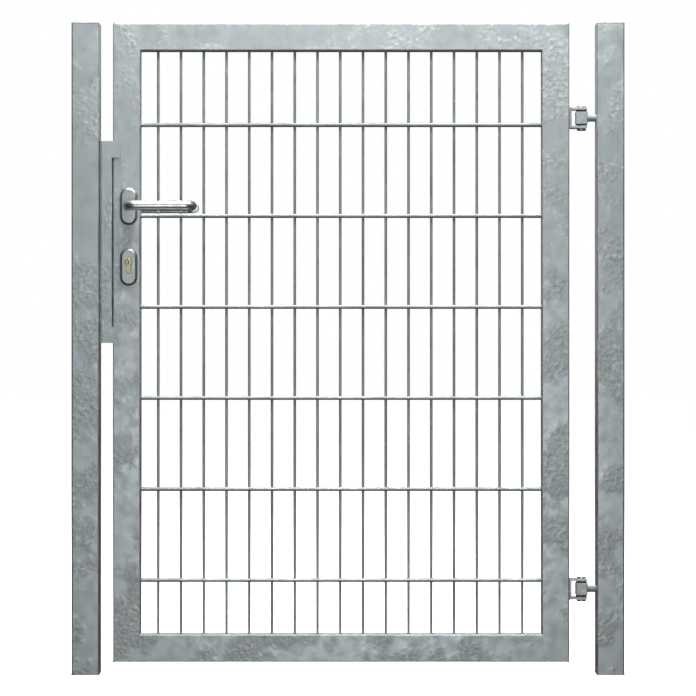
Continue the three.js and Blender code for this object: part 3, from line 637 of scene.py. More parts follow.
@dataclass(frozen=True)
class Galvanised(Finish):
    """Hot-dip zinc: cloudy, with faint crystals, runs, and rough patches with specks.

    Sizes and heights are in metres. A weight says how far a pattern moves the shade between
    dark and light, a share is the most that a colour is mixed in, and a step gives the two
    values between which a pattern rises from nought to one.
    """

    dark: tuple[float, float, float] = (0.35, 0.39, 0.40)
    light: tuple[float, float, float] = (0.50, 0.55, 0.55)
    cool: tuple[float, float, float] = (0.44, 0.48, 0.53)
    green: tuple[float, float, float] = (0.40, 0.47, 0.46)
    speck: tuple[float, float, float] = (0.15, 0.18, 0.185)
    spot: float = 0.78
    cloud: float = 0.085
    mottle: float = 0.024
    crystal: float = 0.013
    run: float = 0.011
    run_stretch: float = 0.16
    patch: float = 0.085
    patch_from: float = 0.45
    patch_ramp: float = 0.17
    lump: float = 0.0095
    lump_height: float = 0.0014
    grain: float = 0.0022
    grain_height: float = 0.00006
    crystal_height: float = 0.000015
    cloud_weight: float = 1.5
    mottle_weight: float = 0.9
    crystal_weight: float = 0.16
    run_weight: float = 0.5
    cool_share: float = 0.45
    cool_step: tuple[float, float] = (0.5, 0.7)
    cool_centre: tuple[float, float, float] = (0.3, 0.1, 0.7)
    green_share: float = 0.4
    green_step: tuple[float, float] = (0.52, 0.7)
    green_centre: tuple[float, float, float] = (0.9, 0.4, 0.2)
    speck_share: float = 0.26
    speck_step: tuple[float, float] = (0.56, 0.68)
    spot_share: float = 0.5
    spot_step: tuple[float, float] = (0.58, 0.7)
    metal: float = 0.55
    smoothest: float = 0.40
    roughest: float = 0.62
    rough_step: tuple[float, float] = (0.3, 0.9)
    rough_patch_weight: float = 0.35

    def build(self) -> bpy.types.Material:
        """Mixes clouds, cells, runs and specks into the colour, roughness and bump.

        Returns:
            The material.
        """
        graph = self.graph()
        even = (1, 1, 1)
        cloud = graph.noise(self.cloud, 3)
        mottle = graph.noise(self.mottle, 3)
        cells = graph.cells(self.crystal)
        runs = graph.noise(self.run, 2, graph.stretched((1, 1, self.run_stretch)))
        cool = graph.noise(self.cloud * 0.6, 1, graph.stretched(even, self.cool_centre))
        green = graph.noise(self.cloud * 0.5, 1, graph.stretched(even, self.green_centre))
        patches = (self.patch_from, self.patch_from + self.patch_ramp)
        rough = graph.step(graph.noise(self.patch, 3), patches)
        lumps = graph.noise(self.lump, 1)
        grain = graph.noise(self.grain, 2)
        shade = (cloud - 0.5) * self.cloud_weight + (mottle - 0.5) * self.mottle_weight
        shade = shade + (cells - 0.5) * self.crystal_weight
        shade = shade + (runs - 0.5) * self.run_weight + 0.5
        colour = graph.mix(shade, (*self.dark, 1), (*self.light, 1))
        share = graph.step(cool, self.cool_step) * self.cool_share
        colour = graph.mix(share, colour, (*self.cool, 1))
        share = graph.step(green, self.green_step) * self.green_share
        colour = graph.mix(share, colour, (*self.green, 1))
        specks = graph.step(1 - lumps, self.speck_step) * rough
        colour = graph.mix(specks * self.speck_share, colour, (*self.speck, 1))
        spots = graph.step(lumps, self.spot_step) * rough
        colour = graph.mix(spots * self.spot_share, colour, grey(self.spot))
        uneven = graph.step(mottle + rough * self.rough_patch_weight, self.rough_step)
        roughness = self.smoothest + (self.roughest - self.smoothest) * uneven
        height = lumps * rough * self.lump_height + grain * self.grain_height
        height = height + cells * self.crystal_height
        return graph.surface(
            Base_Color=colour, Roughness=roughness, Metallic=self.metal, Normal=graph.bump(height),
        )


@dataclass(frozen=True)
class BrushedMetal(Finish):
    """Metal with fine lines along one axis, and cloudy handling marks."""

    colour: tuple[float, float, float]
    dull: tuple[float, float, float]
    lines: tuple[float, float, float] = (0.03, 1, 1)
    line_size: float = 0.0007
    line_height: float = 0.000012
    band_size: float = 0.0028
    smoothest: float = 0.24
    roughest: float = 0.42
    mark: float = 0.018
    mark_weight: float = 0.6
    band_weight: float = 0.5
    dull_step: tuple[float, float] = (0.35, 0.75)
    band_share: float = 0.6

    def build(self) -> bpy.types.Material:
        """Lines are noise drawn out along the brushing; marks mix in the dull colour.

        Returns:
            The material.
        """
        graph = self.graph()
        lines = graph.noise(self.line_size, 2, graph.stretched(self.lines))
        bands = graph.noise(self.band_size, 2, graph.stretched(self.lines))
        marks = graph.noise(self.mark, 3)
        share = graph.step(marks * self.mark_weight + bands * self.band_weight, self.dull_step)
        colour = graph.mix(share, (*self.colour, 1), (*self.dull, 1))
        uneven = bands * self.band_share + marks * (1 - self.band_share)
        roughness = self.smoothest + (self.roughest - self.smoothest) * uneven
        return graph.surface(
            Base_Color=colour, Roughness=roughness, Metallic=1.0,
            Normal=graph.bump(lines * self.line_height),
        )


@dataclass(frozen=True)
class Moulded(Finish):
    """Moulded plastic, rubber or nylon: a fine grain, and dust in cloudy patches."""

    colour: tuple[float, float, float]
    dusty: tuple[float, float, float]
    grain: float = 0.0009
    grain_height: float = 0.00002
    smoothest: float = 0.45
    roughest: float = 0.62
    dust: float = 0.016
    dust_step: tuple[float, float] = (0.4, 0.75)

    def build(self) -> bpy.types.Material:
        """Dust is clouded noise that mixes in a paler colour and roughens the surface.

        Returns:
            The material.
        """
        graph = self.graph()
        grain = graph.noise(self.grain, 2)
        dust = graph.step(graph.noise(self.dust, 3), self.dust_step)
        colour = graph.mix(dust, (*self.colour, 1), (*self.dusty, 1))
        roughness = self.smoothest + (self.roughest - self.smoothest) * dust
        return graph.surface(
            Base_Color=colour, Roughness=roughness, Metallic=0.0,
            Normal=graph.bump(grain * self.grain_height),
        )


@dataclass(frozen=True)
class PaleFloor(Finish):
    """The studio floor: near-white, with the faintest clouding."""

    light: float = 0.9
    dim: float = 0.97
    cloud: float = 0.6
    glow: float = 1.0

    def build(self) -> bpy.types.Material:
        """A pale matt surface with a glow of its own, so that it meets the background.

        Returns:
            The material.
        """
        graph = self.graph()
        cloud = graph.noise(self.cloud, 2)
        colour = graph.mix(cloud, grey(self.light), grey(self.light * self.dim))
        return graph.surface(
            Base_Color=colour, Roughness=0.9, Metallic=0.0, Emission_Color=grey(1),
            Emission_Strength=self.glow,
        )


ZINC = Galvanised("galvanised_zinc", Slot.ZINC)
CAST_ZINC = Galvanised(
    "galvanised_hardware", Slot.ZINC, cloud=0.03, mottle=0.011, crystal=0.006, run_stretch=0.6,
    patch=0.03, patch_from=0.5, lump=0.0035, lump_height=0.0003, smoothest=0.36, roughest=0.6,
)
# The grille's rods are the frame's zinc with darker colours: painted shade, so that the thin rods
# look less lit than the frame.
SHADED_ROD_ZINC = Galvanised(
    "galvanised_rods_painted_shade", Slot.ZINC, (0.24, 0.265, 0.265), (0.38, 0.41, 0.41), cloud=0.12,
    mottle=0.03, crystal=0.02, run_stretch=0.1, patch=0.05, patch_from=0.56, lump=0.0035,
    lump_height=0.0004,
)
SATIN = BrushedMetal(
    "satin_steel_brushed", Slot.SATIN, (0.74, 0.76, 0.76), (0.50, 0.52, 0.52), roughest=0.5,
)
ROSETTE = BrushedMetal(
    "satin_zinc_cast", Slot.ZINC, (0.40, 0.44, 0.44), (0.33, 0.365, 0.365), (1, 1, 0.05),
    smoothest=0.4, roughest=0.55,
)
PLATED = BrushedMetal(
    "plated_steel_bright", Slot.PLATED, (0.50, 0.53, 0.53), (0.33, 0.35, 0.36), (1, 1, 0.2),
    smoothest=0.3, roughest=0.5,
)
BRASS = BrushedMetal(
    "brass_satin", Slot.BRASS, (0.36, 0.34, 0.205), (0.27, 0.255, 0.165), (1, 0.05, 1),
    smoothest=0.3, roughest=0.48,
)
CAP = Moulded("cap_moulded", Slot.CAP, (0.22, 0.23, 0.23), (0.17, 0.18, 0.18))
RUBBER = Moulded(
    "buffer_rubber", Slot.RUBBER, (0.02, 0.02, 0.021), (0.06, 0.06, 0.06), 0.0014, 0.00004,
)
NYLON = Moulded("bush_moulded", Slot.NYLON, (0.03, 0.03, 0.032), (0.07, 0.07, 0.07))
FLOOR = PaleFloor("studio_floor", None)


class Wardrobe:
    """Keeps one material for each finish."""

    def __init__(self) -> None:
        """Starts with no materials."""
        self.made: dict[Finish, bpy.types.Material] = {}

    def material(self, finish: Finish) -> bpy.types.Material:
        """The finish's material, made the first time it is asked for.

        Args:
            finish: the finish.

        Returns:
            Its material.
        """
        if finish not in self.made:
            self.made[finish] = finish.build()
        return self.made[finish]


WARDROBE = Wardrobe()
SMOOTH_LIMIT = math.radians(34)
FLAT_LIMIT = math.radians(1)
MERGE = 2e-5


def finish_piece(piece: bpy.types.Object, finish: Finish, body: Body) -> None:
    """Shades a piece smoothly up to its sharp edges, dresses it and puts it on its body.

    Args:
        piece: the object.
        finish: what it is made of.
        body: what it moves with.
    """
    bpy.context.scene.collection.objects.link(piece)
    piece.data.shade_smooth()
    piece.data.set_sharp_from_angle(angle=SMOOTH_LIMIT)
    piece.data.materials.clear()
    piece.data.materials.append(WARDROBE.material(finish))
    weighted = piece.modifiers.new("flat_faces_stay_flat", "WEIGHTED_NORMAL")
    weighted.keep_sharp = True
    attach(piece, body.value)
    log.info("%s: %d faces, rides on %s", piece.name, len(piece.data.polygons), body.value)


def new_piece(name: str, surface: Surface, finish: Finish, body: Body) -> bpy.types.Object:
    """Makes a piece from a surface.

    Args:
        name: the piece's name.
        surface: its shape, in place.
        finish: what it is made of.
        body: what it moves with.

    Returns:
        The piece.
    """
    piece = bpy.data.objects.new(name, surface.mesh(name))
    finish_piece(piece, finish, body)
    return piece


def stand_in(node: str, surface: Surface, finish: Finish, body: Body) -> bpy.types.Object:
    """Makes a piece that stands for a CAD node.

    Args:
        node: the CAD node.
        surface: the piece's shape, in place.
        finish: what it is made of.
        body: what it moves with.

    Returns:
        The piece.
    """
    piece = new_piece(f"{node}_finished", surface, finish, body)
    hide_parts(node)
    return piece


def refined_copy(node: str, finish: Finish, body: Body, edge: float = 0) -> None:
    """A merged copy of a CAD node with its flats made whole and its edges rounded.

    Args:
        node: the CAD node that the copy stands for.
        finish: what it is made of.
        body: what it moves with.
        edge: width of the rounded edges, or 0 to leave them sharp.
    """
    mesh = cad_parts[node].data.copy()
    work = bmesh.new()
    work.from_mesh(mesh)
    bmesh.ops.remove_doubles(work, verts=work.verts, dist=MERGE)
    bmesh.ops.dissolve_limit(work, angle_limit=FLAT_LIMIT, verts=work.verts, edges=work.edges)
    work.to_mesh(mesh)
    work.free()
    piece = bpy.data.objects.new(f"{node}_finished", mesh)
    if edge:
        bevel = piece.modifiers.new("rounded_edges", "BEVEL")
        bevel.width = edge
        bevel.segments = 2
        bevel.limit_method = "ANGLE"
        bevel.angle_limit = SMOOTH_LIMIT
        bevel.harden_normals = False
    finish_piece(piece, finish, body)
    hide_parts(node)


def dress_node(node: str, finish: Finish) -> None:
    """Gives a carried-over CAD node its finish."""
    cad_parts[node].material_slots[0].material = WARDROBE.material(finish)


def span(node: str) -> tuple[Array, Array]:
    """The lowest and highest corner of a CAD node."""
    low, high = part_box(node)
    return np.array(low), np.array(high)


def middle(node: str) -> Array:
    """The middle of a CAD node's box."""
    low, high = span(node)
    return (low + high) / 2


# ---------------------------------------------------------------------------------------------
# Sub-assemblies
# ---------------------------------------------------------------------------------------------


@dataclass
class Posts:
    """The two posts and their low moulded caps."""

    corner: float = 0.004
    plug_inset: float = 0.0035
    plug_depth: float = 0.012
    rim: float = 0.0015
    slope: float = 0.0075
    edge: float = 0.0004

    def cap(self, node: str) -> Surface:
        """A cap as rounded squares stacked from the plug's foot to the flat top.

        Each row of the profile holds an inset from the post's outline and a height above the
        seat; the corner radius shrinks by the inset, down to a small one.

        Args:
            node: the CAD node of the cap.

        Returns:
            The closed surface.
        """
        low, high = span(node)
        width = high[0] - low[0]
        seat = low[2] + self.plug_depth
        rise = high[2] - seat
        edge = self.edge
        profile = (
            (self.plug_inset + edge, -self.plug_depth),
            (self.plug_inset, edge - self.plug_depth),
            (self.plug_inset, 0),
            (edge, 0),
            (0, edge),
            (0, self.rim - edge),
            (edge, self.rim + edge / 2),
            (self.slope - edge, rise - edge / 2),
            (self.slope + edge, rise),
        )
        loops = []
        for away, at in profile:
            side = width - 2 * away
            corner = max(self.corner - away, 2 * edge)
            loops.append(level(rounded_rectangle(side, side, corner), at))
        centre = middle(node)
        return Surface.loft(np.stack(loops)).placed(Facing.UP, (centre[0], centre[1], seat))

    def build(self) -> None:
        """Makes the posts and caps."""
        for place in ("latch", "hinge"):
            refined_copy(f"{place}_post", ZINC, Body.POSTS)
            node = f"{place}_post_cap"
            stand_in(node, self.cap(node), CAP, Body.POSTS)


@dataclass
class LeafFrame:
    """The four mitred tubes and the welds along their mitres."""

    face: float = 0.060
    depth: float = 0.040
    corner: float = 0.003
    spacing: float = 0.002
    weld_wide: float = 0.0026
    weld_proud: float = 0.00009

    def mitre_weld(self, right: bool, top: bool) -> Surface:
        """A weld that runs round one corner of the frame in the plane of its mitre.

        A point of the tube's section, f inwards from the outer edge and y through the depth,
        lies at the corner plus f towards the opening along X and along Z.

        Args:
            right: whether it is a corner on the hinge side.
            top: whether it is an upper corner.

        Returns:
            The bead.
        """
        low, high = span("top_rail" if top else "bottom_rail")
        corner = np.array([high[0] if right else low[0], 0, high[2] if top else low[2]])
        inward = np.array([-1.0 if right else 1.0, 0, -1.0 if top else 1.0])
        deep = np.array([0, 1.0, 0])
        section = dense(rounded_rectangle(self.face, self.depth, self.corner), self.spacing)
        normal = outline_normals(section)
        along = (section[:, :1] + self.face / 2) * inward
        path = corner + along + section[:, 1:] * deep
        outward = normal[:, :1] * inward / math.sqrt(2) + normal[:, 1:] * deep
        across = np.cross(inward / math.sqrt(2), deep)
        return bead(path, outward, across, self.weld_wide, self.weld_proud)

    def build(self) -> None:
        """Makes the tubes and the mitre welds."""
        for node in ("lock_stile", "hinge_stile", "top_rail", "bottom_rail"):
            refined_copy(node, ZINC, Body.LEAF)
        for top in (False, True):
            for right in (False, True):
                name = f"{'top' if top else 'bottom'}_{'hinge' if right else 'lock'}_mitre_weld"
                new_piece(name, self.mitre_weld(right, top), ZINC, Body.LEAF)


@dataclass
class MeshFilling:
    """The welded grille: single uprights between pairs of horizontal rods."""

    upright: float = 0.003
    cross: float = 0.004
    sink: float = 0.0003
    gap: float = 0.0003
    upright_pitch: float = 0.050
    row_pitch: float = 0.200
    first_upright: float = 0.0377
    first_row: float = 0.1177
    uprights: int = 17
    rows: int = 6
    sides: int = 16
    nugget: tuple[float, float, float] = (0.0037, 0.0046, 0.0012)
    nugget_sides: int = 8
    fillet: float = 0.0016
    fillet_height: float = 0.0022
    fillet_sides: int = 12

    def rod(self, radius: float, length: float) -> Surface:
        """A straight rod along w from nought."""
        return lathe(np.array([(radius, 0), (radius, length)]), self.sides)

    def weld_nugget(self) -> Surface:
        """A flattened ball where two rods are welded.

        Point (b, a) is (x cos b cos a, y cos b sin a, z sin b), with b short of the poles.

        Returns:
            The closed surface, flat along w.
        """
        rise = np.radians([-65, -25, 25, 65])
        ball = lathe(rays(rise), self.nugget_sides)
        return Surface(ball.points * np.array(self.nugget), ball.faces)

    def end_fillet(self, radius: float) -> Surface:
        """The weld round a rod's end, a ring that tapers from the frame up the rod.

        Args:
            radius: the rod's radius.

        Returns:
            The ring, along w from just inside the frame.
        """
        inner = radius * 0.9
        profile = np.array([
            (inner, -self.gap),
            (radius + self.fillet, -self.gap),
            (radius + self.fillet * 0.4, self.fillet_height * 0.35),
            (radius * 1.02, self.fillet_height),
            (inner, self.fillet_height),
        ])
        return lathe(profile, self.fillet_sides, closed=True)

    def build(self) -> None:
        """Makes the grille as one piece."""
        low, high = span("mesh_panel")
        low = low - self.gap * np.array([1, 0, 1])
        high = high + self.gap * np.array([1, 0, 1])
        xs = low[0] + self.gap + self.first_upright + np.arange(self.uprights) * self.upright_pitch
        zs = low[2] + self.gap + self.first_row + np.arange(self.rows) * self.row_pitch
        apart = self.upright + self.cross - self.sink
        sides = np.array([-apart, apart])
        stand = np.column_stack([xs, np.zeros_like(xs), np.full_like(xs, low[2])])
        row_z, row_y = (grid.ravel() for grid in np.meshgrid(zs, sides, indexing="ij"))
        lie = np.column_stack([np.full_like(row_z, low[0]), row_y, row_z])
        tall = high[2] - low[2]
        wide = high[0] - low[0]
        x, y, z = (
            grid.ravel()
            for grid in np.meshgrid(xs, sides * self.upright / apart, zs, indexing="ij")
        )
        origin = (0, 0, 0)
        upright_end = self.end_fillet(self.upright)
        row_end = self.end_fillet(self.cross)
        parts = [
            self.rod(self.upright, tall).repeated(stand),
            self.rod(self.cross, wide).placed(Facing.HINGE_SIDE, origin).repeated(lie),
            self.weld_nugget().placed(Facing.STREET, origin).repeated(np.column_stack([x, y, z])),
            upright_end.repeated(stand),
            upright_end.placed(Facing.DOWN, origin).repeated(stand + np.array([0, 0, tall])),
            row_end.placed(Facing.HINGE_SIDE, origin).repeated(lie),
            row_end.placed(Facing.LOCK_SIDE, origin).repeated(lie + np.array([wide, 0, 0])),
        ]
        # The rods take the darker zinc, whose colours hold painted shade.
        stand_in("mesh_panel", Surface.joined(parts), SHADED_ROD_ZINC, Body.LEAF)


@dataclass
class Hinge:
    """One hinge: bracket and its weld, pin, collar, bushes, and the eye on its threaded rod."""

    place: str
    pin: float = 0.006
    head: float = 0.010
    head_height: float = 0.003
    collar_height: float = 0.004
    seat: float = 0.0233
    eye: float = 0.026
    eye_corner: float = 0.0025
    eye_edge: float = 0.0009
    eye_bore: float = 0.0091
    rod: float = 0.008
    thread: float = 0.0009
    pitch: float = 0.002
    thread_rows: int = 8
    thread_sides: int = 32
    bush_bore: float = 0.0064
    bush_wall: float = 0.0024
    bush_flange: float = 0.012
    weld_wide: float = 0.0016
    weld_proud: float = 0.0019
    edge: float = 0.0005
    centre: Array = field(init=False)

    def __post_init__(self) -> None:
        """Finds the hinge's middle on the pin's axis."""
        pin = middle(self.name("hinge_pin"))
        self.centre = np.array([pin[0], pin[1], middle(self.name("hinge_bracket"))[2]])

    def name(self, part: str) -> str:
        """The CAD name of a part of this hinge."""
        return f"{self.place}_{part}"

    def add(self, part: str, surface: Surface, finish: Finish, body: Body) -> None:
        """Places a part about the hinge's middle as a piece that stands for its CAD node."""
        stand_in(self.name(part), surface.placed(Facing.UP, self.centre), finish, body)

    def pin_surface(self) -> Surface:
        """The pin with its crowned head: heights and radii turned about the axis.

        Returns:
            The closed surface.
        """
        top = self.seat + self.head_height
        end = -self.seat - self.collar_height
        crown = np.radians(np.linspace(0, 90, 6))
        soft = self.edge * 3
        head = np.column_stack([
            self.head - soft * (1 - np.cos(crown)), top - soft * (1 - np.sin(crown)),
        ])
        foot = [(self.pin - self.edge, end), (self.pin, end + self.edge)]
        neck = [(self.pin, self.seat), (self.head - self.edge, self.seat)]
        return lathe(np.array([*foot, *neck, (self.head, self.seat + self.edge), *head]))

    def bush(self) -> Surface:
        """A flanged bush: its section turned about the axis.

        Returns:
            The closed surface.
        """
        low, high = span(self.name("hinge_top_bush"))
        low_z, high_z = low[2] - self.centre[2], high[2] - self.centre[2]
        flange_z = middle(self.name("hinge_eyebolt"))[2] - self.centre[2] + self.eye_height() / 2
        outer = self.bush_bore + self.bush_wall
        section = np.array([
            (self.bush_bore, low_z), (outer, low_z), (outer, flange_z),
            (self.bush_flange - self.edge, flange_z), (self.bush_flange, flange_z + self.edge),
            (self.bush_flange, high_z - self.edge), (self.bush_flange - self.edge, high_z),
            (self.bush_bore, high_z),
        ])
        return lathe(section, closed=True)

    def eye_height(self) -> float:
        """Height of the eye block."""
        low, high = span(self.name("hinge_eyebolt"))
        return float(high[2] - low[2])

    def eye_block(self) -> Surface:
        """The square eye with rounded corners and edges, and its bore.

        The outline goes up the outside with a rounded edge at each face, then down the bore as
        a circle whose points have the same angles as the outline's.

        Returns:
            The closed surface.
        """
        half = self.eye_height() / 2
        outline = rounded_rectangle(self.eye, self.eye, self.eye_corner)
        angle = np.arctan2(outline[:, 1], outline[:, 0])
        bore = self.eye_bore * rays(angle)
        profile = edge_profile(-half, half, self.eye_edge)
        outside = [level(inset(outline, away), at) for away, at in profile]
        inside = [level(bore, half), level(bore, -half)]
        return Surface.loft(np.stack([*outside, *inside]), closed=True)

    def threaded_rod(self) -> Surface:
        """The rod from the eye into the post, with its thread.

        The radius at a height and an angle is the rod's, less the thread's depth times a
        triangle wave of height over pitch less the turn; the depth fades out at both ends.

        Returns:
            The closed surface, along w from nought.
        """
        length = span(self.name("hinge_eyebolt"))[1][0] - self.centre[0] - self.eye / 2
        rows = int(length / self.pitch * self.thread_rows) + 1
        height = np.linspace(0, length, rows)[:, None]
        angle = turn(self.thread_sides)[None, :]
        wave = np.abs(2 * np.mod(height / self.pitch - angle / (2 * math.pi), 1) - 1)
        fade = np.clip(np.minimum(height, length - height) / self.pitch, 0, 1)
        return Surface.loft(turned(self.rod - self.thread * wave * fade, height, angle))

    def bracket_weld(self) -> Surface:
        """The weld round the bracket's foot on the leaf's edge.

        Returns:
            The bead.
        """
        low, high = span(self.name("hinge_bracket"))
        outline = rounded_rectangle(high[1] - low[1], high[2] - low[2], self.weld_wide)
        outline = dense(outline, self.weld_wide)
        normal = outline_normals(outline)
        path = np.column_stack([np.full(len(outline), low[0]), outline + self.centre[1:]])
        outward = np.column_stack([np.zeros(len(outline)), normal])
        return bead(path, outward, np.array([1.0, 0, 0]), self.weld_wide, self.weld_proud)

    def build(self) -> None:
        """Makes the hinge's pieces."""
        refined_copy(self.name("hinge_bracket"), CAST_ZINC, Body.LEAF, self.edge * 1.6)
        new_piece(self.name("bracket_weld"), self.bracket_weld(), CAST_ZINC, Body.LEAF)
        self.add("hinge_pin", self.pin_surface(), PLATED, Body.LEAF)
        collar = ring_profile(
            self.pin + self.edge / 2, self.head, -self.seat - self.collar_height, -self.seat,
            self.edge,
        )
        self.add("pin_collar", lathe(collar, closed=True), PLATED, Body.LEAF)
        bush = self.bush()
        self.add("hinge_top_bush", bush, NYLON, Body.POSTS)
        upside_down = bush.placed(Facing.DOWN, (0, 0, 0))
        self.add("hinge_bottom_bush", upside_down, NYLON, Body.POSTS)
        rod = self.threaded_rod().placed(Facing.HINGE_SIDE, (self.eye / 2 - self.edge, 0, 0))
        eyebolt = Surface.joined([self.eye_block(), rod])
        self.add("hinge_eyebolt", eyebolt, CAST_ZINC, Body.POSTS)
        dress_node(self.name("post_insert"), PLATED)


@dataclass
class Strike:
    """The folded strike, its keeper plate, its bolts and the rubber buffers."""

    edge: float = 0.0006
    flats: float = 0.013
    shank: float = 0.004
    chamfer: float = 0.0009
    head_seat: float = 0.0036
    head_top: float = 0.95
    buffer_corner: float = 0.002
    buffer_edge: float = 0.0007
    sides: int = 48

    def bolt(self, node: str) -> Surface:
        """A hexagon bolt along w with a chamfered head.

        The head's radius is the smaller of the hexagon's and a cone's that closes in over the
        chamfer. The head sits head_seat from the strike's lock-side face.

        Args:
            node: the CAD node of the bolt.

        Returns:
            The closed surface.
        """
        low, high = span(node)
        seat = middle(node)
        head = high[0] - span("strike")[0][0] - self.head_seat
        angle = turn(self.sides)
        corner = self.flats / math.sqrt(3)
        top = high[0] - seat[0]
        profile = (
            (self.shank - self.edge, low[0] - seat[0]),
            (self.shank, low[0] - seat[0] + self.edge),
            (self.shank, top - head),
            (corner, top - head),
            (corner, top - self.chamfer),
            (self.flats / 2 * self.head_top, top),
        )
        limit, height = np.array(profile).T[:, :, None]
        radius = np.minimum(hexagon(angle, self.flats), limit)
        return Surface.loft(turned(radius, height, angle)).placed(Facing.HINGE_SIDE, seat)

    def buffer(self, node: str) -> Surface:
        """A rubber pad with rounded corners and edges.

        Args:
            node: the CAD node of the pad.

        Returns:
            The closed surface.
        """
        low, high = span(node)
        size = high - low
        outline = rounded_rectangle(size[0], size[2], self.buffer_corner)
        pad = soft_prism(outline, -size[1] / 2, size[1] / 2, self.buffer_edge)
        return pad.placed(Facing.STREET, middle(node))

    def build(self) -> None:
        """Makes the strike's pieces."""
        refined_copy("strike", ZINC, Body.POSTS, self.edge)
        refined_copy("keeper_plate", ZINC, Body.POSTS, self.edge)
        for end in ("upper", "lower"):
            bolt = f"{end}_strike_bolt"
            pad = f"{end}_stop_buffer"
            stand_in(bolt, self.bolt(bolt), PLATED, Body.POSTS)
            stand_in(pad, self.buffer(pad), RUBBER, Body.POSTS)


@dataclass
class Lock:
    """The mortise lock: forend, bolts, screws and spring; the inner parts keep their CAD shape."""

    edge: float = 0.0005
    screw_head: float = 0.0045
    screw_depth: float = 0.002
    screw_shank: float = 0.0025
    screw_sides: int = 48
    socket: float = 0.003
    socket_depth: float = 0.0014
    wire: float = 0.0005
    wire_sides: int = 8
    coil: float = 0.0035
    turns: int = 7
    turn_steps: int = 24
    latch_travel: float = 0.012

    def countersunk(self, node: str) -> Surface:
        """A countersunk screw along w, from its end to its head with a hexagon socket.

        The stack of circles goes up the shank and the cone to the head's face, then down the
        hexagonal socket.

        Args:
            node: the CAD node of the screw.

        Returns:
            The closed surface.
        """
        low, high = span(node)
        length = high[0] - low[0]
        angle = turn(self.screw_sides)
        flats = hexagon(angle, self.socket)
        rows = (
            (self.screw_shank - self.edge, -length),
            (self.screw_shank, self.edge - length),
            (self.screw_shank, -self.screw_depth),
            (self.screw_head, -self.edge / 3),
            (self.screw_head - self.edge / 3, 0),
            (flats, 0),
            (flats, -self.socket_depth),
        )
        loops = np.stack([turned(size, at, angle) for size, at in rows])
        centre = middle(node)
        return Surface.loft(loops).placed(Facing.LOCK_SIDE, (low[0], centre[1], centre[2]))

    def spring(self) -> Surface:
        """The latch's spring: a round wire carried along a helix about X.

        The middle line at share t is (x0 + t length, coil cos a, coil sin a) with a of t times
        the turns; the wire's circle lies across the helix's tangent.

        Returns:
            The closed tube.
        """
        low, high = span("latch_spring")
        share = np.linspace(0, 1, self.turns * self.turn_steps + 1)
        angle = share * self.turns * 2 * math.pi
        rise = high[0] - low[0] - 2 * self.wire
        out = np.column_stack([np.zeros_like(angle), rays(angle)])
        start = np.array([low[0] + self.wire, 0, middle("latch_spring")[2]])
        line = self.coil * out + start + share[:, None] * np.array([rise, 0, 0])
        tangent = np.column_stack([
            np.full_like(angle, rise / (self.turns * 2 * math.pi)),
            -self.coil * np.sin(angle),
            self.coil * np.cos(angle),
        ])
        tangent = tangent / np.linalg.norm(tangent, axis=1, keepdims=True)
        side = np.cross(tangent, out)
        around = rays(turn(self.wire_sides))
        wire = self.wire * around @ np.stack([out, side], 1)
        return Surface.loft(line[:, None, :] + wire)

    def build(self) -> None:
        """Makes the lock's pieces and dresses its hidden ones."""
        refined_copy("lock_forend", SATIN, Body.LEAF)
        refined_copy("latch_bolt", BRASS, Body.LATCH, self.edge)
        refined_copy("dead_bolt", SATIN, Body.BOLT, self.edge)
        for node in ("upper_forend_screw", "lower_forend_screw", "cylinder_screw"):
            stand_in(node, self.countersunk(node), PLATED, Body.LEAF)
        spring = stand_in("latch_spring", self.spring(), PLATED, Body.LEAF)
        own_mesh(spring)
        hidden = (
            "lock_case", "lock_cover", "upper_forend_lug", "lower_forend_lug",
            "upper_lever_stud", "lower_lever_stud", "upper_cylinder_stud",
            "lower_cylinder_stud", "latch_follower", "lever_spindle", "cylinder_cam",
            "front_grub_screw", "rear_grub_screw",
        )
        for node in hidden:
            dress_node(node, PLATED)


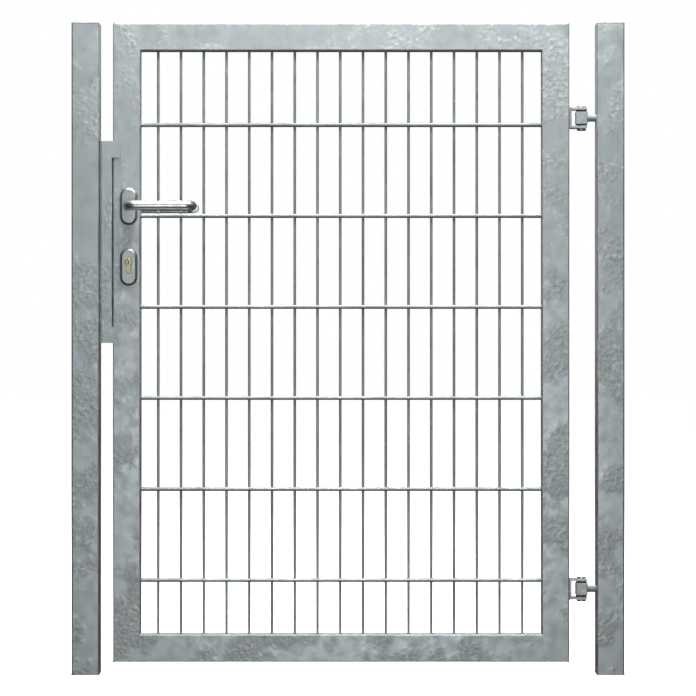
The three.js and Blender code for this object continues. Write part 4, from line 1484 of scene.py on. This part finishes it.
@dataclass
class ProfileCylinder:
    """The brass profile cylinder and its two plugs with their keyways."""

    round_part: float = 0.0085
    stem: float = 0.005
    stem_centre: float = -0.0195
    bore: float = 0.0068
    plug: float = 0.0065
    keyway: float = 0.0012
    keyway_half: float = 0.0028
    keyway_depth: float = 0.020
    cam_slot: float = 0.0054
    cam_reach: float = 0.0161
    edge: float = 0.0004
    overlap: float = 0.0002
    points: int = 96
    foot_points: int = 13

    def outline(self, angle: Array, grown: float, key: float = 0) -> Array:
        """Distance to the cylinder's outline from a point below its key axis.

        It is the larger of the distances to the round part and to the stem.

        Args:
            angle: the rays' angles.
            grown: play all round.
            key: height of the key axis above the point.

        Returns:
            The distances.
        """
        circle = reach(angle, self.round_part + grown, key, key)
        stem = reach(angle, self.stem + grown, self.stem_centre + key, key)
        return np.maximum(circle, stem)

    def notch(self, grown: float, key: float = 0) -> Array:
        """Angles of the two notches where the stem meets the round part.

        Args:
            grown: play all round.
            key: height of the key axis above the point that the angles are about.

        Returns:
            The two angles.
        """
        wide = self.stem + grown
        low = key - math.sqrt((self.round_part + grown) ** 2 - wide**2)
        return np.mod([math.atan2(low, wide), math.atan2(low, -wide)], 2 * math.pi)

    def half_body(self, low: float, high: float) -> Surface:
        """A stretch of the body along w, with its bore and a soft edge at the high end.

        Args:
            low: height of the lower end.
            high: height of the higher end.

        Returns:
            The closed surface.
        """
        angle = np.sort(np.concatenate([turn(self.points), self.notch(0)]))
        ray = rays(angle)
        outer = self.outline(angle, 0)[:, None] * ray
        smaller = self.outline(angle, -self.edge)[:, None] * ray
        loops = [
            level(outer, low),
            level(outer, high - self.edge),
            level(smaller, high),
            level(self.bore * ray, high),
            level(self.bore * ray, low),
        ]
        return Surface.loft(np.stack(loops), closed=True)

    def bridge(self) -> Surface:
        """The foot of the stem under the cam, which joins the two halves.

        Returns:
            The closed surface, along w about the key's axis.
        """
        top = -self.cam_reach
        angle = np.linspace(math.pi, 2 * math.pi, self.foot_points)
        foot = self.stem * rays(angle) + np.array([0, self.stem_centre])
        outline = np.concatenate([foot, [(self.stem, top), (-self.stem, top)]])
        reach_out = self.cam_slot + self.overlap
        return Surface.loft(np.stack([level(outline, -reach_out), level(outline, reach_out)]))

    def plug_surface(self, low: float, high: float) -> Surface:
        """A plug along w with its keyway sunk into the high end.

        Circles go up the outside to the face; the last two loops are the keyway's outline, at
        the face and at its depth.

        Args:
            low: the plug's inner end.
            high: the plug's face.

        Returns:
            The closed surface.
        """
        angle = turn(self.points)
        ray = rays(angle)
        slot = reach(angle, self.keyway, -self.keyway_half, self.keyway_half)[:, None] * ray
        loops = [
            level(self.plug * ray, low),
            level(self.plug * ray, high - self.edge),
            level((self.plug - self.edge) * ray, high),
            level(slot, high),
            level(slot, high - self.keyway_depth),
        ]
        return Surface.loft(np.stack(loops))

    def build(self) -> None:
        """Makes the body and the plugs on the key's axis."""
        cam = middle("cylinder_cam")
        plug_low, plug_high = span("front_cylinder_plug")
        axis = np.array([cam[0], 0, (plug_low[2] + plug_high[2]) / 2])
        far = -plug_low[1]
        near = -plug_high[1]
        half = self.half_body(self.cam_slot, far)
        body = Surface.joined([
            half.placed(Facing.STREET, axis),
            half.placed(Facing.GARDEN, axis),
            self.bridge().placed(Facing.STREET, axis),
        ])
        stand_in("cylinder_body", body, BRASS, Body.LEAF)
        plug = self.plug_surface(near, far)
        for place, facing in (("front", Facing.STREET), ("rear", Facing.GARDEN)):
            stand_in(f"{place}_cylinder_plug", plug.placed(facing, axis), BRASS, Body.KEY)


@dataclass
class Rosettes:
    """The four oval rosettes: two round the levers' necks and two round the cylinder."""

    half_width: float = 0.019
    half_straight: float = 0.022
    thickness: float = 0.010
    bevel: float = 0.005
    bevel_depth: float = 0.004
    edge: float = 0.0007
    neck_hole: float = 0.00925
    key_above: float = 0.006
    play: float = 0.0003
    points: int = 128
    cylinder: ProfileCylinder = field(default_factory=ProfileCylinder)

    def profile(self) -> tuple[tuple[float, float], ...]:
        """Inset and height up the rim: a wall, a soft shoulder, the bevel and the face.

        Returns:
            Rows of inset and height, from the back to the face.
        """
        wall = self.thickness - self.bevel_depth
        edge = self.edge
        return (
            (edge / 2, 0),
            (0, edge / 2),
            (0, wall - edge),
            (edge * 0.35, wall - edge * 0.1),
            (edge * 1.1, wall + edge * 0.55),
            (self.bevel - edge, self.thickness - edge * 0.5),
            (self.bevel, self.thickness - edge * 0.12),
            (self.bevel + edge, self.thickness),
        )

    def surface(self, angle: Array, hole: Array, above: float) -> Surface:
        """A rosette along w about a point above its middle, with a hole.

        The rim's loops are the distances to a capsule that shrinks by the profile's inset; then
        the hole's loop goes down to the back.

        Args:
            angle: angles of the loops' points.
            hole: distance to the hole's edge at each angle.
            above: height of the point above the rosette's middle.

        Returns:
            The closed surface.
        """
        ray = rays(angle)
        low = -self.half_straight - above
        high = self.half_straight - above
        rim = [
            level(reach(angle, self.half_width - away, low, high)[:, None] * ray, at)
            for away, at in self.profile()
        ]
        soft = level((hole + self.edge / 3)[:, None] * ray, self.thickness)
        inside = [soft, level(hole[:, None] * ray, self.thickness - self.edge / 3)]
        back = level(hole[:, None] * ray, 0)
        return Surface.loft(np.stack([*rim, *inside, back]), closed=True)

    def build(self) -> None:
        """Makes the four rosettes."""
        even = turn(self.points)
        lever = self.surface(even, np.full(self.points, self.neck_hole), 0)
        notch = self.cylinder.notch(self.play, self.key_above)
        angle = np.sort(np.concatenate([even, notch]))
        hole = self.cylinder.outline(angle, self.play, self.key_above)
        key = middle("front_cylinder_plug")[2]
        for place, facing in (("front", Facing.STREET), ("rear", Facing.GARDEN)):
            node = f"{place}_lever_rosette"
            low, high = span(node)
            back = high[1] if facing is Facing.STREET else low[1]
            at = (middle(node)[0], back, middle(node)[2])
            stand_in(node, lever.placed(facing, at), ROSETTE, Body.LEAF)
            node = f"{place}_cylinder_rosette"
            above = key - self.key_above - middle(node)[2]
            plate = self.surface(angle, hole, above)
            at = (middle(node)[0], back, key - self.key_above)
            stand_in(node, plate.placed(facing, at), ROSETTE, Body.LEAF)


@dataclass
class Levers:
    """The two round levers, each bent out from its rosette and back towards the leaf."""

    radius: float = 0.0105
    bend: float = 0.017
    start: float = 0.0306
    grip: float = 0.065
    end: float = 0.038
    reach: float = 0.1395
    edge: float = 0.0016
    neck: float = 0.009
    neck_from: float = 0.0224
    neck_to: float = 0.034
    bend_steps: int = 14
    end_steps: int = 4
    sides: int = 48

    def path(self) -> tuple[Array, Array, Array]:
        """The middle line from the rosette to the tip, in steps along the grip and outwards.

        Both bends are quarter circles. At each end a few more places close together let the
        tube's radius fall by edge (1 - sin a), so that the end is rounded.

        Returns:
            The places, the directions and the tube's radius at each of them.
        """
        angle = np.linspace(0, math.pi / 2, self.bend_steps + 1)
        shrink = np.linspace(0, math.pi / 2, self.end_steps + 1)
        zero = np.zeros_like(shrink)
        first = np.column_stack([
            self.bend * (1 - np.cos(angle)), self.grip - self.bend * (1 - np.sin(angle)),
        ])
        second = np.column_stack([
            self.reach - self.bend * (1 - np.sin(angle)),
            self.grip - self.bend * (1 - np.cos(angle)),
        ])
        root = np.column_stack([zero, self.start + self.edge * (1 - np.cos(shrink))])
        tip = np.column_stack([zero + self.reach, self.end + self.edge * (1 - np.cos(shrink))])
        places = np.concatenate([root, first, second, tip[::-1]])
        ways = np.concatenate([
            np.column_stack([zero, zero + 1]),
            np.column_stack([np.sin(angle), np.cos(angle)]),
            np.column_stack([np.cos(angle), -np.sin(angle)]),
            np.column_stack([zero, zero - 1]),
        ])
        soft = self.radius - self.edge * (1 - np.sin(shrink))
        whole = np.full(2 * len(angle), self.radius)
        return places, ways, np.concatenate([soft, whole, soft[::-1]])

    def surface(self, side: int, axis: Array) -> Surface:
        """A lever: circles of the path's radius carried along it, and its neck.

        Args:
            side: -1 for the street side, 1 for the garden side.
            axis: a point on the spindle's axis.

        Returns:
            The closed surface.
        """
        places, ways, radius = self.path()
        up = np.array([0, 0, 1.0])
        line = np.column_stack([places[:, 0], side * places[:, 1], np.zeros(len(places))]) + axis
        way = np.column_stack([ways[:, 0], side * ways[:, 1], np.zeros(len(ways))])
        across = np.cross(up, way)
        angle = turn(self.sides)
        ring = (
            np.cos(angle)[None, :, None] * across[:, None, :]
            + np.sin(angle)[None, :, None] * up
        )
        tube = Surface.loft(line[:, None, :] + radius[:, None, None] * ring)
        stub = lathe(np.array([(self.neck, self.neck_from), (self.neck, self.neck_to)]))
        facing = Facing.STREET if side < 0 else Facing.GARDEN
        return Surface.joined([tube, stub.placed(facing, axis)])

    def build(self) -> None:
        """Makes the two levers on the spindle's axis."""
        spindle = middle("lever_spindle")
        for place, side in (("front", -1), ("rear", 1)):
            node = f"{place}_lever"
            lever = stand_in(node, self.surface(side, spindle), SATIN, Body.LEVERS)
            receivers(Body.LEVERS).objects.link(lever)


# ---------------------------------------------------------------------------------------------
# Studio
# ---------------------------------------------------------------------------------------------


def receivers(body: Body) -> bpy.types.Collection:
    """The collection of a body's pieces that take a light of their own."""
    name = f"{body.value}_light"
    return bpy.data.collections.get(name) or bpy.data.collections.new(name)


@dataclass(frozen=True)
class SoftLight:
    """A rectangular light: where it is, what it points at, its size and its power.

    With a body named, it lights the pieces of that body only.
    """

    name: str
    place: tuple[float, float, float]
    aim: tuple[float, float, float]
    size: tuple[float, float]
    power: float
    only: Body | None = None

    def build(self) -> None:
        """Adds the light; the camera doesn't see it."""
        data = bpy.data.lights.new(self.name, "AREA")
        data.shape = "RECTANGLE"
        data.size, data.size_y = self.size
        data.energy = self.power
        lamp = bpy.data.objects.new(self.name, data)
        bpy.context.scene.collection.objects.link(lamp)
        lamp.location = self.place
        way = Vector(self.aim) - Vector(self.place)
        lamp.rotation_euler = way.to_track_quat("-Z", "Y").to_euler()
        lamp.visible_camera = False
        if self.only is not None:
            lamp.light_linking.receiver_collection = receivers(self.only)


@dataclass
class Studio:
    """Floor, background, lights and camera."""

    floor_half: float = 30.0
    ambient: float = 0.035
    background: float = 1.0
    camera_distance: float = 5.72
    camera_height: float = 0.716
    lens: float = 134.6
    sensor: float = 36
    lights: tuple[SoftLight, ...] = (
        SoftLight("overhead_softbox", (0, 0.15, 5.2), (0, 0.05, 0), (1.6, 1.3), 480),
        SoftLight("front_softbox", (0, -4.6, 0.65), (0, 0, 0.45), (1.1, 1.6), 38),
        SoftLight("top_front_strip", (0.12, -0.6, 2.05), (0, 0, 1.25), (1.9, 0.3), 18),
        SoftLight("low_front_strip", (0, -3.0, 0.2), (0, 0, 0.8), (1.0, 0.4), 12),
        SoftLight("garden_softbox", (0, 4.4, 1.6), (0, 0, 0.7), (2.4, 1.8), 9),
        SoftLight(
            "lever_card", (-0.4, -0.02, 0.4), (-0.4, -0.06, 1.03), (0.5, 0.25), 0.5, Body.LEVERS,
        ),
    )

    def world(self) -> None:
        """White to the camera, and a dim even light to everything else."""
        world = bpy.data.worlds.new("studio_background")
        bpy.context.scene.world = world
        graph = Graph(world)
        seen = graph.node("ShaderNodeLightPath", {}).outputs["Is Camera Ray"]
        dim = graph.node("ShaderNodeBackground", {"Strength": self.ambient})
        white = {"Color": grey(1), "Strength": self.background}
        bright = graph.node("ShaderNodeBackground", white)
        shaders = {0: seen, 1: dim.outputs[0], 2: bright.outputs[0]}
        pick = graph.node("ShaderNodeMixShader", shaders)
        graph.node("ShaderNodeOutputWorld", {0: pick.outputs[0]})

    def floor(self) -> None:
        """A large pale floor that doesn't light the gate from below."""
        half = self.floor_half
        corners = np.array([(-half, -half), (half, -half), (half, half), (-half, half)])
        mesh = Surface(level(corners, 0), (np.arange(4)[None, :],)).mesh("studio_floor")
        floor = bpy.data.objects.new("studio_floor", mesh)
        bpy.context.scene.collection.objects.link(floor)
        mesh.materials.append(WARDROBE.material(FLOOR))
        floor.visible_diffuse = False
        floor.visible_glossy = False

    def camera(self) -> None:
        """A level camera straight in front of the gate."""
        data = bpy.data.cameras.new("camera")
        data.lens = self.lens
        data.sensor_width = self.sensor
        camera = bpy.data.objects.new("camera", data)
        bpy.context.scene.collection.objects.link(camera)
        camera.location = (0, -self.camera_distance, self.camera_height)
        camera.rotation_euler = (math.pi / 2, 0, 0)
        bpy.context.scene.camera = camera

    def build(self) -> None:
        """Sets the studio up."""
        bpy.context.scene.view_settings.view_transform = "Standard"
        self.camera()
        self.world()
        self.floor()
        for light in self.lights:
            light.build()


def main() -> None:
    """Builds the studio and every sub-assembly."""
    logging.basicConfig(level=logging.INFO, format="%(message)s")
    Studio().build()
    assemblies = (
        Posts(), LeafFrame(), MeshFilling(), Hinge("upper"), Hinge("lower"), Strike(), Lock(),
        ProfileCylinder(), Rosettes(), Levers(),
    )
    for assembly in assemblies:
        log.info("building %s", type(assembly).__name__)
        assembly.build()


if __name__ == "__main__":
    main()
